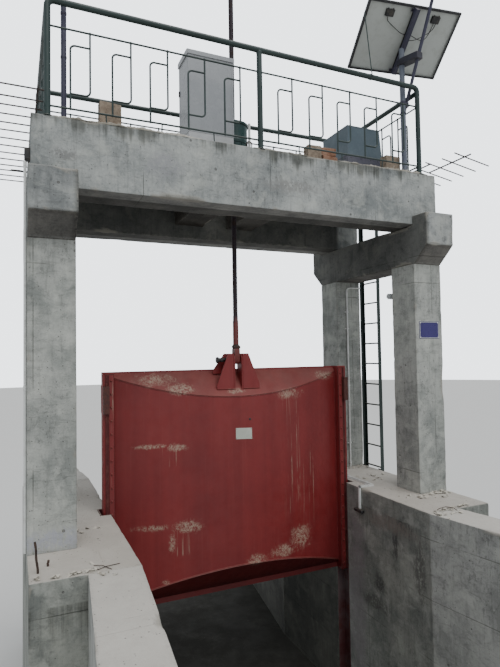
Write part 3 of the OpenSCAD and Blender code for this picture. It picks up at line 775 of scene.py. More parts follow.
@dataclass(frozen=True)
class CastConcrete(Finish):
    """Weathered cast concrete with form seams, air holes, stains and chipped edges, and painted shade under
    faces that look down and inside a box.
    """

    pale: Colour = "acafac"
    dark: Colour = "7a7f7f"
    panel: tuple[float, float, float, float] = (1.36, 0.62, 0.04, 0.45)
    top: float = 7.065
    run: float = 0.5
    runs: float = 0.7
    dust: Colour = "b8b4ac"
    # Strength of the painted shade on faces that look down.
    underside_shade: float = 0.55
    scale: float = 1.3
    # Box of painted shade, as centre, half size and raggedness of its rim.
    shade_box: tuple[Point, Point, float] = ((0.0, 0.0, 6.6), (1.965, 0.97, 0.46), 0.0)
    blots: tuple[tuple[Point, Point, Colour], ...] = ()

    def wire(self, w: Wires, at: Signal, shader: bpy.types.Node) -> None:
        """Wires the concrete: tone, seams, holes, stains, dust, painted shade and chips."""
        mottle = Effect.MOTTLE.use(w, Vector=at, Scale=self.scale)
        width, height, across, rise = self.panel
        panels = Effect.PANELS.use(w, Vector=at, Width=width, Height=height, Across=across, Rise=rise)
        fine = Effect.PORES.use(w, Vector=at, Scale=55.0, Amount=0.12)["Mask"]
        coarse = Effect.PORES.use(w, Vector=at, Scale=19.0, Amount=0.035)["Mask"]
        runs = Effect.RUNS.use(w, Vector=at, Top=self.top, Length=self.run, Scale=11.0)["Mask"]
        dust_and_shade = Effect.DUST_AND_SHADE.use(w, Vector=at, Scale=2.3)
        edge = w.get("Attribute", None, "Fac", attribute_name="edge")
        chip = w.get("Attribute", None, "Fac", attribute_name="chip")
        cloud = w.span(w.noise(w.stretch(at, 1.0, 1.0, 0.55), 1.7, 4.0, 0.6, 0.4), 0.47, 0.62)
        scum = w.span(w.noise(at, 3.9, 5.0, 0.65, 0.5), 0.5, 0.66)
        colour = w.mix(mottle["Tone"], self.dark, self.pale)
        colour = w.tint(panels["Tone"] * 0.3, colour, (0.72, 0.73, 0.75))
        colour = w.tint(cloud * 0.34, colour, (0.72, 0.72, 0.74))
        streak = w.span(w.noise(w.stretch(at, 1.0, 1.0, 0.09), 24.0, 4.0, 0.7), 0.5, 0.68)
        film = w.span(w.noise(w.stretch(at, 0.4, 0.4, 1.3), 17.0, 5.0, 0.72, 0.8), 0.53, 0.62)
        grit = w.span(w.noise(w.stretch(at, 1.0, 1.0, 0.6), 21.0, 8.0, 0.8, 0.3), 0.535, 0.6)
        colour = w.tint(streak * 0.42, colour, (0.58, 0.58, 0.58))
        colour = w.tint(grit * w.span(cloud, 0.0, 1.0, 0.35, 0.9) * 0.6, colour, (0.38, 0.38, 0.38))
        colour = w.tint(film * 0.34, colour, (0.5, 0.5, 0.5))
        colour = w.mix(scum * 0.3, colour, "c4c6be")
        colour = w.tint(panels["Seam"] * 0.85, colour, (0.36, 0.36, 0.34))
        colour = w.tint(runs * self.runs, colour, (0.36, 0.36, 0.34))
        for centre, reach, tone in self.blots:
            blot = Effect.SPLASH.use(w, Vector=at, Centre=centre, Reach=reach)["Mask"]
            colour = w.mix(blot * 0.75, colour, tone)
        colour = w.mix(dust_and_shade["Up"] * 0.75, colour, self.dust)
        # Painted shade: faces that look down are darkened.
        colour = w.tint(dust_and_shade["Down"] * self.underside_shade, colour, (0.32, 0.275, 0.245))
        # Painted shade inside the box, such as the cavity under the deck and the bay behind the gate.
        near = w.get("VectorMath", {0: at, 1: self.shade_box[0]}, operation="SUBTRACT")
        near = w.parts(w.get("VectorMath", {0: near, 1: self.shade_box[1]}, operation="DIVIDE"))
        ragged = (w.noise(w.stretch(at, 1.0, 1.0, 0.3), 5.0, 4.0, 0.6) - 0.5) * self.shade_box[2]
        inside = [w.span(abs(part) + ragged, 1.02 + self.shade_box[2] * 0.3, 0.98) for part in near]
        colour = w.tint(inside[0] * inside[1] * inside[2] * 0.9, colour, (0.25, 0.24, 0.22))
        colour = w.mix(w.span(edge, 0.35, 1.0) * w.span(mottle["Grain"], 0.45, 0.6) * 0.3, colour, "787670")
        colour = w.mix(chip * 0.55, colour, "969288")
        colour = w.mix(w.math("MAXIMUM", fine, coarse) * 0.65, colour, "484642")
        speck = w.noise(at, 160.0, 2.0, 0.6)
        colour = w.tint(w.span(speck, 0.5, 0.75, 0.0, 0.35), colour, (0.55, 0.55, 0.55))
        self.feed(w, shader, Base_Color=colour, Roughness=w.span(mottle["Tone"], 0.0, 1.0, 0.95, 0.8))
        low = mottle["Grain"] * 0.22 + speck * 0.1
        low = low - w.math("MAXIMUM", fine, coarse) * 0.9
        low = low - w.math("MAXIMUM", panels["Seam"], film * 0.3) * 0.35
        low = low + chip * w.noise(at, 60.0, 4.0, 0.8) * 0.9
        self.relief(w, shader, low, 0.006)


@dataclass(frozen=True)
class PaintedSteel(Finish):
    """Brushed or sprayed paint on steel, faded, dusty, worn along the edges and rusting in places, with
    painted shade on faces that look down.
    """

    colour: Colour
    faded: Colour
    rust: Colour = "5c3422"
    rusting: float = 0.3
    wear: float = 0.6
    rough: tuple[float, float] = (0.38, 0.6)
    dust: Colour = "aaa092"
    dusty: float = 0.35
    scale: float = 1.6
    edge: float = 0.003
    # How strongly faces that look down are darkened with painted shade.
    under: float = 0.3

    def base(self, w: Wires, at: Signal) -> tuple[Signal, Signal]:
        """Colour of the paint before rust and dust, and its height."""
        mottle = Effect.MOTTLE.use(w, Vector=at, Scale=self.scale)
        return w.mix(mottle["Tone"], self.colour, self.faded), w.noise(at, 220.0, 2.0, 0.5)

    def wire(self, w: Wires, at: Signal, shader: bpy.types.Node) -> None:
        """Wires the paint, then rust, worn edges, dust and painted shade over it."""
        colour, height = self.base(w, at)
        specks = Effect.SPECKS.use(w, Vector=at, Scale=self.scale * 3.0, Amount=self.rusting)
        worn = Effect.WORN_EDGES.use(
            w, Vector=at, Radius=self.edge, Scale=self.scale * 9.0)["Mask"] * self.wear
        rust = w.math("MAXIMUM", specks["Mask"], worn)
        dust_and_shade = Effect.DUST_AND_SHADE.use(w, Vector=at, Scale=5.0)
        tone = w.mix(w.noise(at, 40.0, 4.0, 0.7), self.rust, tuple(c * 1.9 for c in shade(self.rust)))
        colour = w.mix(rust, colour, tone)
        colour = w.mix(dust_and_shade["Up"] * self.dusty, colour, self.dust)
        # Painted shade: faces that look down are darkened.
        colour = w.tint(dust_and_shade["Down"] * self.under, colour, (0.3, 0.27, 0.26))
        rough = w.span(w.noise(at, 9.0, 4.0, 0.6), 0.3, 0.7, *self.rough)
        rough = w.math("ADD", rough, w.math("MAXIMUM", rust, dust_and_shade["Up"] * self.dusty) * 0.3, True)
        self.feed(w, shader, Base_Color=colour, Roughness=rough)
        self.relief(w, shader, height * 0.2 + rust * specks["Height"] * 0.8, 0.0012)


@dataclass(frozen=True)
class LeafPaint(PaintedSteel):
    """Red paint of the leaf, with upright bands, drips and splashes of lime, and painted shade along its
    foot.
    """

    splashes: tuple[tuple[Point, Point], ...] = ()
    drips: tuple[tuple[Point, Point], ...] = ()

    def base(self, w: Wires, at: Signal) -> tuple[Signal, Signal]:
        """Colour of the leaf with its bands, drips, splashes and painted shade along its foot, and its
        height.
        """
        mottle = Effect.MOTTLE.use(w, Vector=at, Scale=0.8)
        bands = w.noise(w.stretch(at, 1.0, 1.0, 0.03), 5.5, 3.0, 0.6)
        streaks = w.noise(w.stretch(at, 1.0, 1.0, 0.02), 42.0, 3.0, 0.7)
        tone = mottle["Tone"] * 0.5 + w.span(bands, 0.3, 0.7) * 0.5
        colour = w.mix(tone, self.colour, self.faded)
        colour = w.mix(w.span(streaks, 0.56, 0.74) * 0.12, colour, "96544e")
        dust_and_shade = Effect.DUST_AND_SHADE.use(w, Vector=at, Scale=3.0)
        # Dust and painted light: faces of the leaf that look up are turned a paler red.
        colour = w.mix(dust_and_shade["Up"] * 0.2, colour, "8e4e48")
        # Painted shade: the lowest part of the leaf, under the arch, is darkened.
        foot = w.span(w.parts(at)[2], 2.27, 2.13)
        colour = w.tint(foot * 0.75, colour, (0.45, 0.42, 0.42))
        lime = w.mix(w.noise(at, 18.0, 4.0, 0.7), "967664", "bcb8a4")
        for centre, reach in self.drips:
            near = w.get("VectorMath", {0: at, 1: tuple(centre)}, operation="SUBTRACT")
            near = w.parts(w.get("VectorMath", {0: near, 1: tuple(reach)}, operation="DIVIDE"))
            box = w.span(abs(near[0]), 1.0, 0.8) * w.span(abs(near[2]), 1.0, 0.75)
            thread = w.noise(w.stretch(at, 1.0, 1.0, 0.012), 60.0, 2.0, 0.6)
            broken = w.span(w.noise(w.stretch(at, 1.0, 1.0, 0.3), 13.0, 4.0, 0.7), 0.36, 0.6)
            colour = w.mix(box * w.span(thread, 0.53, 0.7) * broken * 0.6, colour, lime)
        splashed = None
        for centre, reach in self.splashes:
            mask = Effect.SPLASH.use(w, Vector=at, Centre=centre, Reach=reach)["Mask"]
            splashed = mask if splashed is None else w.math("MAXIMUM", splashed, mask)
        if splashed is not None:
            grit = w.span(w.noise(at, 55.0, 4.0, 0.8), 0.38, 0.56)
            colour = w.mix(splashed * grit * 0.72, colour, lime)
        fine = w.noise(at, 150.0, 2.0, 0.5) * 0.5 + streaks * 0.5
        return (colour, fine + splashed if splashed is not None else fine)


@dataclass(frozen=True)
class ScrewSteel(Finish):
    """Greased dark steel of the screw, with a red painted foot."""

    foot: float = 5.30

    def wire(self, w: Wires, at: Signal, shader: bpy.types.Node) -> None:
        """Wires dark steel with dried grease above the painted foot."""
        ragged = (w.noise(at, 14.0, 4.0, 0.6) - 0.5) * 0.5
        low = w.span(w.parts(at)[2] + ragged, self.foot + 0.06, self.foot - 0.06)
        grease = w.span(w.noise(at, 9.0, 5.0, 0.7), 0.48, 0.62)
        colour = w.mix(w.noise(at, 30.0, 4.0, 0.7), "262028", "42383e")
        colour = w.mix(grease * 0.5, colour, "463422")
        red = w.mix(w.noise(at, 22.0, 4.0, 0.7), "541a1a", "78342e")
        self.feed(w, shader, Base_Color=w.mix(low, colour, red),
                  Roughness=w.span(grease, 0.0, 1.0, 0.42, 0.7), Metallic=w.span(low, 0.0, 0.5, 0.35, 0.0))
        self.relief(w, shader, w.noise(at, 120.0, 3.0, 0.7), 0.0008)


@dataclass(frozen=True)
class BareMetal(Finish):
    """Bare metal: rusted bar, cast shoe, pin or turned bronze."""

    dark: Colour
    light: Colour
    metal: float = 0.6
    rough: tuple[float, float] = (0.45, 0.85)
    scale: float = 25.0
    depth: float = 0.0015

    def wire(self, w: Wires, at: Signal, shader: bpy.types.Node) -> None:
        """Wires blotches of two tones, duller where they are light."""
        patch = w.noise(at, self.scale, 5.0, 0.72, 0.2)
        fine = w.noise(at, self.scale * 7, 3.0, 0.7)
        tone = w.span(patch * 0.7 + fine * 0.3, 0.36, 0.64)
        self.feed(w, shader, Base_Color=w.mix(tone, self.dark, self.light),
                  Roughness=w.span(tone, 0.0, 1.0, *self.rough),
                  Metallic=w.span(tone, 0.0, 1.0, self.metal, self.metal * 0.3))
        self.relief(w, shader, patch * 0.6 + fine * 0.4, self.depth)


@dataclass(frozen=True)
class Moulded(Finish):
    """Moulded plastic or rubber, dusty and scuffed."""

    colour: Colour
    rough: float = 0.5
    dirt: Colour = "787064"
    dirty: float = 0.35

    def wire(self, w: Wires, at: Signal, shader: bpy.types.Node) -> None:
        """Wires a fine moulded grain with grime in patches."""
        grime = w.span(w.noise(at, 11.0, 5.0, 0.68), 0.45, 0.7)
        dust_and_shade = Effect.DUST_AND_SHADE.use(w, Vector=at, Scale=9.0)
        tone = w.mix(w.noise(at, 3.0, 3.0), self.colour, tuple(c * 0.88 for c in shade(self.colour)))
        colour = w.mix(w.math("MAXIMUM", grime, dust_and_shade["Up"]) * self.dirty, tone, self.dirt)
        self.feed(w, shader, Base_Color=colour,
                  Roughness=w.span(grime, 0.0, 1.0, self.rough, min(1.0, self.rough + 0.3)))
        self.relief(w, shader, w.noise(at, 500.0, 2.0, 0.6), 0.0003)


@dataclass(frozen=True)
class FiredClay(Finish):
    """Loose brick or block of fired clay."""

    dark: Colour
    light: Colour

    def wire(self, w: Wires, at: Signal, shader: bpy.types.Node) -> None:
        """Wires sandy clay with mortar smears, pits and dark scorches."""
        tone = w.span(w.noise(at, 13.0, 5.0, 0.7), 0.35, 0.65)
        pits = Effect.PORES.use(w, Vector=at, Scale=90.0, Amount=0.4)["Mask"]
        smear = w.span(w.noise(at, 8.0, 4.0, 0.6, 0.5), 0.58, 0.7)
        colour = w.mix(tone, self.dark, self.light)
        colour = w.mix(smear * 0.5, colour, "b6b0a4")
        colour = w.mix(pits * 0.7, colour, "503426")
        self.feed(w, shader, Base_Color=colour, Roughness=w.span(tone, 0.0, 1.0, 0.95, 0.82))
        self.relief(w, shader, w.noise(at, 70.0, 4.0, 0.7) - pits * 0.6, 0.003)


@dataclass(frozen=True)
class SolarCells(Finish):
    """Dark cells with silver lines behind glass, drawn along the slope of the panel."""

    origin: Point
    across: Point
    up: Point
    cell: float = 0.157

    def wire(self, w: Wires, at: Signal, shader: bpy.types.Node) -> None:
        """Wires the grid of cells and their fine lines, with dust along the lower edge."""
        near = w.get("VectorMath", {0: at, 1: tuple(self.origin)}, operation="SUBTRACT")
        u = w.get("VectorMath", {0: near, 1: tuple(self.across)}, "Value", operation="DOT_PRODUCT")
        v = w.get("VectorMath", {0: near, 1: tuple(self.up)}, "Value", operation="DOT_PRODUCT")
        gaps, fingers = [], []
        for value in (u, v):
            part = value / self.cell
            gaps.append(w.span(w.math("PINGPONG", part, 0.5), 0.008, 0.016, 1.0, 0.0))
            fingers.append(w.span(w.math("PINGPONG", part * 3.0, 0.5), 0.012, 0.024, 1.0, 0.0))
        gap = w.math("MAXIMUM", *gaps)
        crystal = w.get("TexVoronoi", {"Vector": at, "Scale": 34.0}, "Color")
        tint = w.get("SeparateColor", {0: crystal})
        colour = w.mix(tint, "101836", "1c2a54")
        colour = w.mix(fingers[0] * 0.7, colour, "969ba0")
        colour = w.mix(gap, colour, "c4c8ca")
        dust = w.span(w.noise(at, 6.0, 5.0, 0.7), 0.4, 0.7) * w.span(v, 0.1, -0.42)
        colour = w.mix(dust * 0.5, colour, "aaa091")
        self.feed(w, shader, Base_Color=colour, Roughness=w.span(dust, 0.0, 1.0, 0.12, 0.6))
        shader.inputs["Coat Weight"].default_value = 0.6
        shader.inputs["Coat Roughness"].default_value = 0.05


CONCRETE = CastConcrete("Portal concrete", pale="a0a3a1", dark="727676", underside_shade=0.95,
                        shade_box=((0.0, 0.0, 6.6), (1.965, 1.5, 0.9), 0.0))
BEAM = CastConcrete("Beam concrete", underside_shade=0.6, runs=1.0, shade_box=((0.0, 0.0, 6.6), (1.965, 0.83, 0.46), 0.0),
                    panel=(1.36, 0.9, 0.04, 6.30), run=0.34, scale=1.1,
                    blots=(((-2.03, -1.04, 6.72), (0.2, 0.2, 0.08), "707170"),
                           ((-1.1, -1.04, 6.75), (0.28, 0.2, 0.2), "8c8d90"),
                           ((0.3, -1.04, 6.7), (0.5, 0.2, 0.1), "7e7e7c")))
# Painted shade: a darker, browner copy of the portal concrete for the hoist beams and deck slabs under the
# deck.
UNDER_DECK = CastConcrete("Under-deck concrete", pale="767066", dark="504c46", underside_shade=0.5)
COLUMN = CastConcrete(
    "Column concrete", pale="b2b4ae", dark="848884", panel=(0.9, 2.27, 0.4, 1.18), top=6.0, run=0.5,
    runs=0.35, scale=1.7, blots=(((-2.15, -1.05, 3.3), (0.4, 0.3, 0.13), "9ea0aa"),))
WALL = CastConcrete(
    "Bay wall concrete", pale="9c9e96", dark="6e726e", panel=(1.2, 0.62, 0.62, 0.45), top=2.99, run=0.75,
    runs=0.9, dust="beb7ae", underside_shade=0.3,
    blots=(
        ((1.5, -0.35, 1.9), (0.4, 0.30, 1.7), "867f82"), ((1.5, -1.11, 2.72), (0.2, 0.07, 0.3), "3c3c3a"),
        ((1.5, -0.80, 2.14), (0.2, 0.16, 0.14), "3a3a38"), ((1.5, -1.0, 2.9), (0.2, 0.6, 0.14), "7e7670"),
        ((1.5, -1.5, 2.55), (0.2, 0.14, 0.4), "545450"), ((1.5, -0.7, 1.9), (0.2, 0.4, 0.12), "4e4e4a"),
        ((1.5, -1.2, 1.2), (0.2, 0.5, 0.2), "54544e"), ((0.0, 1.1, 0.6), (1.7, 1.1, 0.4), "383932")),
    shade_box=((0.0, 1.5, 1.0), (1.63, 1.38, 1.55), 0.4))
WING = CastConcrete(
    "Wing wall concrete", pale="b6b7b2", dark="8c8e8a", panel=(1.25, 0.62, 0.0, 0.45), top=3.2, run=0.4,
    runs=0.3, dust="c8c3bb", underside_shade=0.3, shade_box=((0.0, 3.4, 1.0), (1.98, 1.9, 1.55), 0.4))
FLOOR = CastConcrete(
    "Floor concrete", pale="686861", dark="42433e", dust="46443c",
    shade_box=((0.0, 0.0, 0.42), (1.9, 4.05, 0.05), 0.05), top=0.4, run=0.2, panel=(2.0, 2.0, 0.0, 0.0))
# under=0.95 gives the leaf deep painted shade on its down-facing bottom plate.
LEAF = LeafPaint(
    "Leaf paint", colour="6a1c1e", faded="802828", rusting=0.16, wear=0.5, dusty=0.12, rough=(0.42, 0.62),
    under=0.95,
    splashes=(((-1.0, -0.1, 4.62), (0.32, 0.2, 0.1)), ((-0.72, -0.15, 4.5), (0.22, 0.2, 0.09)),
              ((-1.06, -0.11, 3.87), (0.3, 0.2, 0.035)), ((-0.78, -0.17, 3.85), (0.15, 0.2, 0.06)),
              ((-1.05, -0.11, 2.97), (0.3, 0.2, 0.05)), ((-0.68, -0.18, 2.95), (0.22, 0.2, 0.09)),
              ((-0.83, -0.16, 2.78), (0.06, 0.2, 0.14)), ((0.68, -0.19, 4.40), (0.26, 0.2, 0.09)),
              ((1.25, -0.07, 4.6), (0.2, 0.2, 0.08)), ((-0.02, -0.2, 4.46), (0.16, 0.1, 0.05)),
              ((0.82, -0.16, 2.62), (0.2, 0.2, 0.2)), ((0.55, -0.19, 2.5), (0.22, 0.2, 0.1)),
              ((0.18, -0.23, 2.45), (0.15, 0.2, 0.09)), ((-0.9, -0.15, 2.36), (0.05, 0.1, 0.04))),
    drips=(((0.70, -0.18, 3.62), (0.14, 1.0, 0.85)), ((0.95, -0.15, 3.2), (0.10, 1.0, 0.55)),
           ((-0.70, -0.17, 2.8), (0.10, 1.0, 0.18)), ((-0.85, -0.17, 3.76), (0.10, 1.0, 0.14)),
           ((-1.50, -0.1, 3.5), (0.05, 1.0, 1.2))))
GUIDE = PaintedSteel("Guide paint", "522628", "665858", rusting=0.6, dusty=0.35, rough=(0.55, 0.8))
RAIL = PaintedSteel(
    "Railing paint", "1a2c2a", "283a38", rusting=0.12, wear=0.25, rough=(0.28, 0.5), dusty=0.3)
LADDER = PaintedSteel("Ladder paint", "162624", "263632", rusting=0.35, rough=(0.4, 0.6))
POST = PaintedSteel("Post paint", "565c6a", "6e7480", rusting=0.25, rough=(0.4, 0.6), dusty=0.3)
INDIGO = PaintedSteel("Indigo paint", "2e2e42", "424256", rusting=0.2, rough=(0.4, 0.6), dusty=0.3)
HOIST = PaintedSteel("Hoist green", "032c2a", "0a3836", rusting=0.2, rough=(0.25, 0.45), dusty=0.15)
CABINET = PaintedSteel("Cabinet grey", "96999d", "9da0a3", rust="786454", rusting=0.08, wear=0.35,
                       rough=(0.2, 0.32), dusty=0.2)
HOUSING = PaintedSteel("Housing blue", "52626c", "68767e", rusting=0.12, rough=(0.35, 0.55), dusty=0.35)
PLINTH = PaintedSteel(
    "Plinth grey", "acaeb0", "bcbec0", rust="786454", rusting=0.1, wear=0.3, rough=(0.45, 0.6), dusty=0.3)
# The hem's own grey band is darkened with painted shade, as it stands at the foot of the housing.
HEM = PaintedSteel("Housing hem", "4c4c5a", "5e5e6a", rusting=0.12, rough=(0.45, 0.6))
PANEL_BACK = Moulded("Panel back sheet", "b6bab6", 0.55, dirty=0.15)
PANEL_FRAME = BareMetal(
    "Panel frame", "222224", "3a3a3c", metal=0.5, rough=(0.4, 0.6), scale=12.0, depth=0.0004)
LEAD = Moulded("Lead sheath", "101012", 0.5, dirty=0.15)
WEDGE = PaintedSteel("Clamp paint", "1e1e28", "30303c", rusting=0.4, rough=(0.5, 0.7))
BAR = BareMetal("Starter bar", "1e1b1c", "423630", metal=0.2)
BLACK = Moulded("Black plastic", "1e1f22", 0.45)
WHITE = Moulded("White plastic", "dee0de", 0.4, dirty=0.3)
GREY_CASE = Moulded("Camera case", "b2b6b6", 0.4, dirty=0.25)
RUBBER = Moulded("Housing rubber", "222121", 0.75)
SEAL = Moulded("Seal rubber", "582020", 0.75, "80544a", 0.5)
SIGN = PaintedSteel("Sign enamel", "261e58", "322a68", rusting=0.05, wear=0.3, rough=(0.2, 0.35), dusty=0.2)
RUSTY = BareMetal("Rusted bar", "2a2422", "544238", metal=0.3)
SHOE = BareMetal("Cast shoe", "40201e", "623a32", metal=0.2)
STEEL = BareMetal("Dark steel", "28282c", "4e4a48", metal=0.8, rough=(0.35, 0.6))
BRONZE = BareMetal("Turned bronze", "96703a", "b08c54", metal=1.0, rough=(0.25, 0.45), depth=0.0003)
SCREW = ScrewSteel("Screw steel")
BRICK = FiredClay("Orange brick", "805a46", "967662")
BLOCK = FiredClay("Tan block", "7a6c5e", "968878")
MORTAR = CastConcrete("Loose mortar", pale="c6c2b8", dark="8c867a", dust="c8c2b6", underside_shade=0.2)
PLATE = PaintedSteel("Bare label plate", "c4c6be", "b0b4aa", rust="8c7864", rusting=0.3, rough=(0.3, 0.5))


# Setting

@dataclass
class Studio:
    """Camera, floor and soft lights."""

    place: Point = (-2.4416, -6.0118, 4.8917)
    yaw: float = 0.4188
    pitch: float = 0.0389
    roll: float = -0.0164
    lens: float = 28.49
    reach: float = 90.0

    def camera(self) -> None:
        """Sets up the camera at the measured place and angle."""
        lens = bpy.data.cameras.new("View")
        lens.lens, lens.sensor_width, lens.sensor_fit = self.lens, 36.0, "AUTO"
        lens.clip_end = 500.0
        eye = bpy.data.objects.new("View", lens)
        ahead = Vector((math.sin(self.yaw) * math.cos(self.pitch),
                        math.cos(self.yaw) * math.cos(self.pitch), math.sin(self.pitch)))
        right = Vector((math.cos(self.yaw), -math.sin(self.yaw), 0.0))
        up = right.cross(ahead)
        side = math.cos(self.roll) * right + math.sin(self.roll) * up
        head = math.cos(self.roll) * up - math.sin(self.roll) * right
        turn = Matrix((side, head, -ahead)).transposed().to_4x4()
        eye.matrix_world = Matrix.Translation(self.place) @ turn
        bpy.context.scene.collection.objects.link(eye)
        bpy.context.scene.camera = eye

    def floor(self) -> None:
        """Lays the plain pale floor."""
        bm = bmesh.new()
        bmesh.ops.create_circle(bm, cap_ends=True, segments=96, radius=self.reach)
        mesh = bpy.data.meshes.new("Pale_floor")
        bm.to_mesh(mesh)
        bm.free()
        made = bpy.data.materials.new("Pale floor")
        made.use_nodes = True
        shader = made.node_tree.nodes["Principled BSDF"]
        shader.inputs["Base Color"].default_value = (0.62, 0.62, 0.61, 1.0)
        shader.inputs["Roughness"].default_value = 0.95
        mesh.materials.append(made)
        obj = bpy.data.objects.new("Pale_floor", mesh)
        bpy.context.scene.collection.objects.link(obj)
        obj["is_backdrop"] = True

    def light(self) -> None:
        """Sets a pale sky and one broad soft light."""
        world = bpy.data.worlds.new("Pale sky")
        world.use_nodes = True
        wires = Wires(world.node_tree)
        sky = world.node_tree.nodes["Background"]
        sky.inputs["Color"].default_value = (0.84, 0.88, 0.92, 1.0)
        seen = wires.get("LightPath", None, "Is Camera Ray")
        wires.tree.links.new(wires.span(seen, 0.0, 1.0, 0.82, 3.30).socket, sky.inputs["Strength"])
        bpy.context.scene.world = world
        lamp = bpy.data.lights.new("Soft_sun", "SUN")
        lamp.energy, lamp.angle, lamp.color = 1.8, math.radians(50), (1.0, 0.98, 0.95)
        sun = bpy.data.objects.new("Soft_sun", lamp)
        sun.rotation_euler = Vector((-0.12, 0.60, -1.0)).to_track_quat("-Z", "Y").to_euler()
        bpy.context.scene.collection.objects.link(sun)

    def build(self) -> None:
        """Sets the camera, the floor and the lights."""
        self.camera()
        self.floor()
        self.light()


# Concrete

@dataclass
class GateBay:
    """Floor, bay walls with their slots, and flared wing walls."""

    half: float = 1.5
    wall: float = 0.85
    bay: float = 1.67
    base: float = 0.4
    top: float = 3.2
    slot: tuple[float, float, float] = (-0.17, 0.09, 0.11)
    wing: tuple[float, float] = (2.5, 0.42)
    flare: tuple[float, float] = (5.0, 9.0)

    def wing_plan(self, side: int, end: int) -> list[Point]:
        """Outline of a wing wall in plan: side is -1 at the left, end is -1 at the front."""
        turn = math.radians(self.flare[0] if side < 0 else self.flare[1])
        length, thick = self.wing
        dx, dy = length * math.sin(turn), length * math.cos(turn)
        plan = [(self.half, self.bay), (self.half + dx, self.bay + dy),
                (self.half + dx + thick * math.cos(turn), self.bay + dy - thick * math.sin(turn)),
                (self.half + thick / math.cos(turn), self.bay)]
        return [(side * x, end * y) for x, y in plan]

    def floor(self) -> None:
        """Casts the floor under the bay and the wings."""
        outer = self.half + self.wall
        plan = []
        for side, end in ((1, -1), (1, 1), (-1, 1), (-1, -1)):
            tip = self.wing_plan(side, end)
            part = [tip[1], tip[2], tip[3], (side * outer, end * self.bay)]
            plan += part if (side * end) < 0 else part[::-1]
        stock = Stock()
        CastBlock(
            Axis.Z, plan, 0.0, self.base, seed=3, step=0.16, bands=(0.0, 0.01, 0.03, 0.06)).pour(stock)
        stock.piece("bay_floor", FLOOR, "concrete", ("floor_slab",), angle=28)

    def walls(self) -> None:
        """Casts the two bay walls."""
        y0, y1, deep = self.slot
        a, b = self.half, self.half + self.wall
        plan = [(a, -self.bay), (b, -self.bay), (b, self.bay), (a, self.bay), (a, y1), (a + deep, y1),
                (a + deep, y0), (a, y0)]
        for side, node in ((-1, "left_bay_wall"), (1, "right_bay_wall")):
            CastBlock(Axis.Z, [(side * x, y) for x, y in plan], self.base, self.top, seed=11 + side,
                      step=0.055, chips=0.035, ends=(0.2, 1.0), swell=0.003).cast(node, WALL)

    def wings(self) -> None:
        """Casts the four wing walls."""
        for side, left in ((-1, "left"), (1, "right")):
            for end, front in ((-1, "front"), (1, "back")):
                CastBlock(
                    Axis.Z, self.wing_plan(side, end), self.base, self.top, seed=20 + side + 4 * end,
                    step=0.06, chips=0.03, ends=(0.2, 1.0), swell=0.003).cast(f"{left}_{front}_wing", WING)

    def crumbs(self) -> None:
        """Scatters mortar crumbs round the column feet and along the joints of the wall tops."""
        rng = random.Random(5)
        stock = Stock()
        spots = [(2.15, -1.12, 0.22, 60), (1.75, -1.72, 0.2, 36), (-2.0, -1.68, 0.16, 30),
                 (-1.95, -0.55, 0.14, 16), (2.1, 0.62, 0.2, 26), (-2.1, 0.6, 0.2, 26), (1.9, 0.0, 0.3, 20)]
        for x, y, spread, count in spots:
            for _ in range(count):
                at = Vector((x + rng.gauss(0, spread), y + rng.gauss(0, spread * 0.35), self.top))
                at.x = math.copysign(
                    min(max(abs(at.x), self.half + 0.05), self.half + self.wall - 0.06), at.x)
                at.y = max(at.y, -1.62 if abs(at.x) > self.half + 0.36 else -1.9)
                size = rng.uniform(0.006, 0.02)
                hull = [stock.bm.verts.new(at
                                           + Vector((rng.gauss(0, size), rng.gauss(0, size),
                                                     rng.uniform(-0.003, size * 1.3)))) for _ in range(9)]
                made = bmesh.ops.convex_hull(stock.bm, input=hull)
                bmesh.ops.delete(
                    stock.bm, geom=[v for v in made["geom_interior"] if isinstance(v, bmesh.types.BMVert)],
                    context="VERTS")
        stock.piece("wall_crumbs", MORTAR, "concrete", angle=20)

    def stubs(self) -> None:
        """Stands the cut bars beside the left column and lays the tie wires on the joints."""
        stock = Stock()
        for at, tip in (((-2.278, -1.481, self.top - 0.002), (-2.30, -1.49, self.top + 0.25)),
                        ((-2.20, -1.36, self.top - 0.002), (-2.195, -1.37, self.top + 0.05))):
            stock.pipe([Vector(at).lerp(Vector(tip), i / 10) + Vector((0.002 * math.sin(i), 0, 0))
                        for i in range(11)], lambda i: 0.009 + 0.001 * (i % 2), 10)
        loop = [(1.60, -1.66, self.top), (1.64, -1.66, self.top + 0.03), (1.72, -1.68, self.top + 0.045),
                (1.80, -1.70, self.top + 0.03), (1.84, -1.72, self.top)]
        stock.pipe(rounded(loop, 0.05), 0.0035, 8)
        twist = [(-1.86, -1.52, self.top + 0.004), (-1.80, -1.57, self.top + 0.012),
                 (-1.74, -1.66, self.top + 0.004)]
        stock.pipe(rounded(twist, 0.05), 0.003, 6)
        cross = [(-1.84, -1.63, self.top + 0.006), (-1.78, -1.6, self.top + 0.01),
                 (-1.66, -1.57, self.top + 0.004)]
        stock.pipe(rounded(cross, 0.05), 0.003, 6)
        stock.piece("bar_stubs_and_wires", RUSTY, "rusty_steel")

    def build(self) -> None:
        """Builds the bay."""
        self.floor()
        self.walls()
        self.wings()
        self.crumbs()
        self.stubs()
        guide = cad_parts["guide_rails"]
        guide.data.materials[0] = GUIDE.material()
        log.info("guide_rails: packed node, %s", GUIDE.name)


